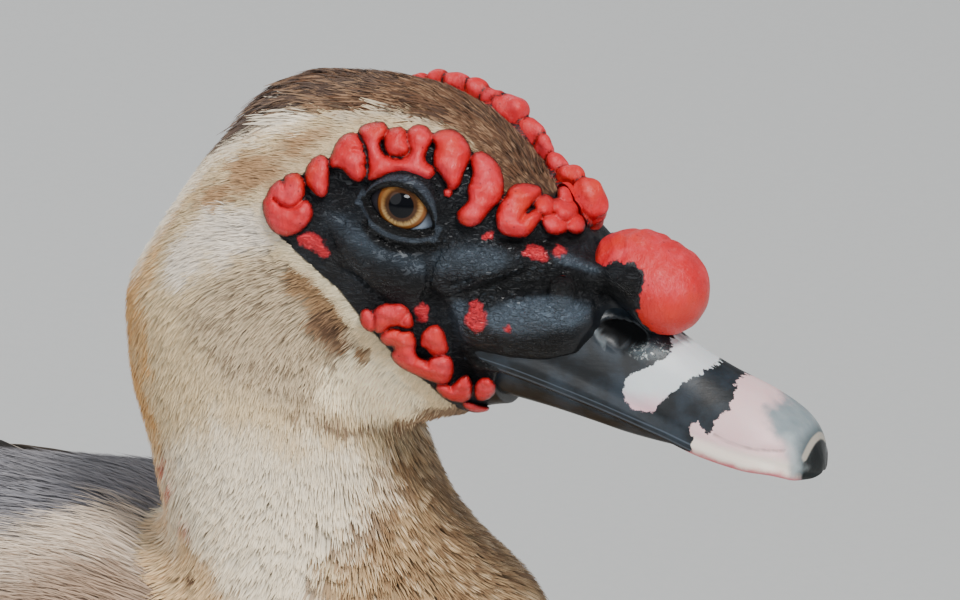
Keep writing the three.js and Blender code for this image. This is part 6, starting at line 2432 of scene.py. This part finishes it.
def shank_field(x, y, z):
    top = np.array([HOCK[0] + 3, LEG_SPREAD, 86])
    bottom = np.array([TOE_JOINT[0], LEG_SPREAD, 14])
    hock = np.array([HOCK[0], LEG_SPREAD, HOCK[2]])
    way = bottom - hock
    line = [top, hock, *(hock + way * s for s in (0.16, 0.5, 0.85, 1.02))]
    values = chain_field(x, y, z, line, [6.5, 8, 6.4, 5.4, 6, 6.4])
    s = ((x - hock[0]) * way[0] + (z - hock[2]) * way[2]) / np.linalg.norm(way)
    front = smooth_step(0.0, 3.0, (x - hock[0]) - (s / np.linalg.norm(way)) * way[0])
    scutes = 0.35 * np.abs(np.sin(np.pi * s / 5.2)) ** 0.5 * front
    return values + 0.15 - scutes


def claw_rings(degrees, length):
    """Rings of points of the claw of a toe with this heading and length."""
    angle = np.radians(degrees)
    way = np.array([np.cos(angle), np.sin(angle), 0])
    long, thick = (13, 2.3) if length > 30 else (8, 1.7)
    s = np.linspace(0, 1, CLAW_ROWS)
    size = thick * np.sqrt(np.clip(1 - s**1.6, 0, 1)) + 0.12
    start = np.array([TOE_JOINT[0], LEG_SPREAD, 0]) + way * (length - 2.5)
    line = start + way * (long * s)[:, None] + np.array([0, 0, 1]) * (4.4 - 3.4 * s**1.6)[:, None]
    turn = np.linspace(0, 2 * np.pi, CLAW_COLUMNS, endpoint=False)
    side = np.array([-way[1], way[0], 0])
    ring = np.cos(turn)[:, None] * side * 0.8 + np.sin(turn)[:, None] * np.array([0, 0, 1.0])
    return line[:, None] + size[:, None, None] * ring[None]


def build_legs(material, horn):
    foot = Field(foot_field, (8, 2, -1.5), (112, 96, 24), FOOT_STEP)
    foot_points, foot_quads = net_of(foot.values, foot.low, foot.step)
    shank = Field(shank_field, (-6, LEG_SPREAD - 14, 4), (54, LEG_SPREAD + 14, 98), SHANK_STEP)
    shank_points, shank_quads = net_of(shank.values, shank.low, shank.step)
    claws = [claw_rings(degrees, length) for degrees, length, *_ in (*TOES, HIND_TOE)]
    for side, way in (("left", 1), ("right", -1)):
        mirror = np.array([1, way, 1])
        for name, points, quads in (("shank", shank_points, shank_quads), ("foot", foot_points, foot_quads)):
            points = points * mirror
            long, wide = points[:, 0], points[:, 1]
            if name == "shank":
                long, wide = points[:, 2], np.arctan2(points[:, 1] - way * LEG_SPREAD, points[:, 0] - 26)
            piece(f"{name}_{side}_skin", points, quads[:, ::way], material, replaces=[f"{name}_{side}"],
                  slot="leg_skin", bake=spread_bake(long, wide))
        points = np.concatenate([claw.reshape(-1, 3) for claw in claws]) * mirror
        points[:, 2] = np.maximum(points[:, 2], 0.15)
        starts = CLAW_ROWS * CLAW_COLUMNS * np.arange(len(claws))
        quads = np.concatenate([grid_quads(CLAW_ROWS, CLAW_COLUMNS, wrap=True, start=k) for k in starts])
        caps = [k + end_caps(CLAW_ROWS, CLAW_COLUMNS)[1] for k in starts]
        piece(f"claws_{side}", points, quads[:, ::way], horn, slot="leg_skin",
              caps=[ring[::way] for ring in caps], bake=spread_bake(points[:, 0], points[:, 1]))


build_skin(skin_material())
horn = bill_material()
build_bill(horn)
build_lower_bill(horn)
red_flesh = caruncle_material()
build_caruncles(red_flesh)
build_knob(red_flesh)
build_eyes(eye_material())
soft = feather_material("down", barb=0.4)
covert = feather_material("contour", barb=1.0, shaft=0.35)
flight = feather_material("flight", barb=1.0, gloss=0.25, roughness=0.45, shaft=0.7)
build_head_coat(soft)
build_face_border(soft)
build_crest(soft)
build_body_coat(covert)
build_wings(covert, flight)
build_mantle(soft)
build_tail(covert, flight)
build_legs(leg_material(), claw_material())
build_camera()
build_lights()
build_floor()
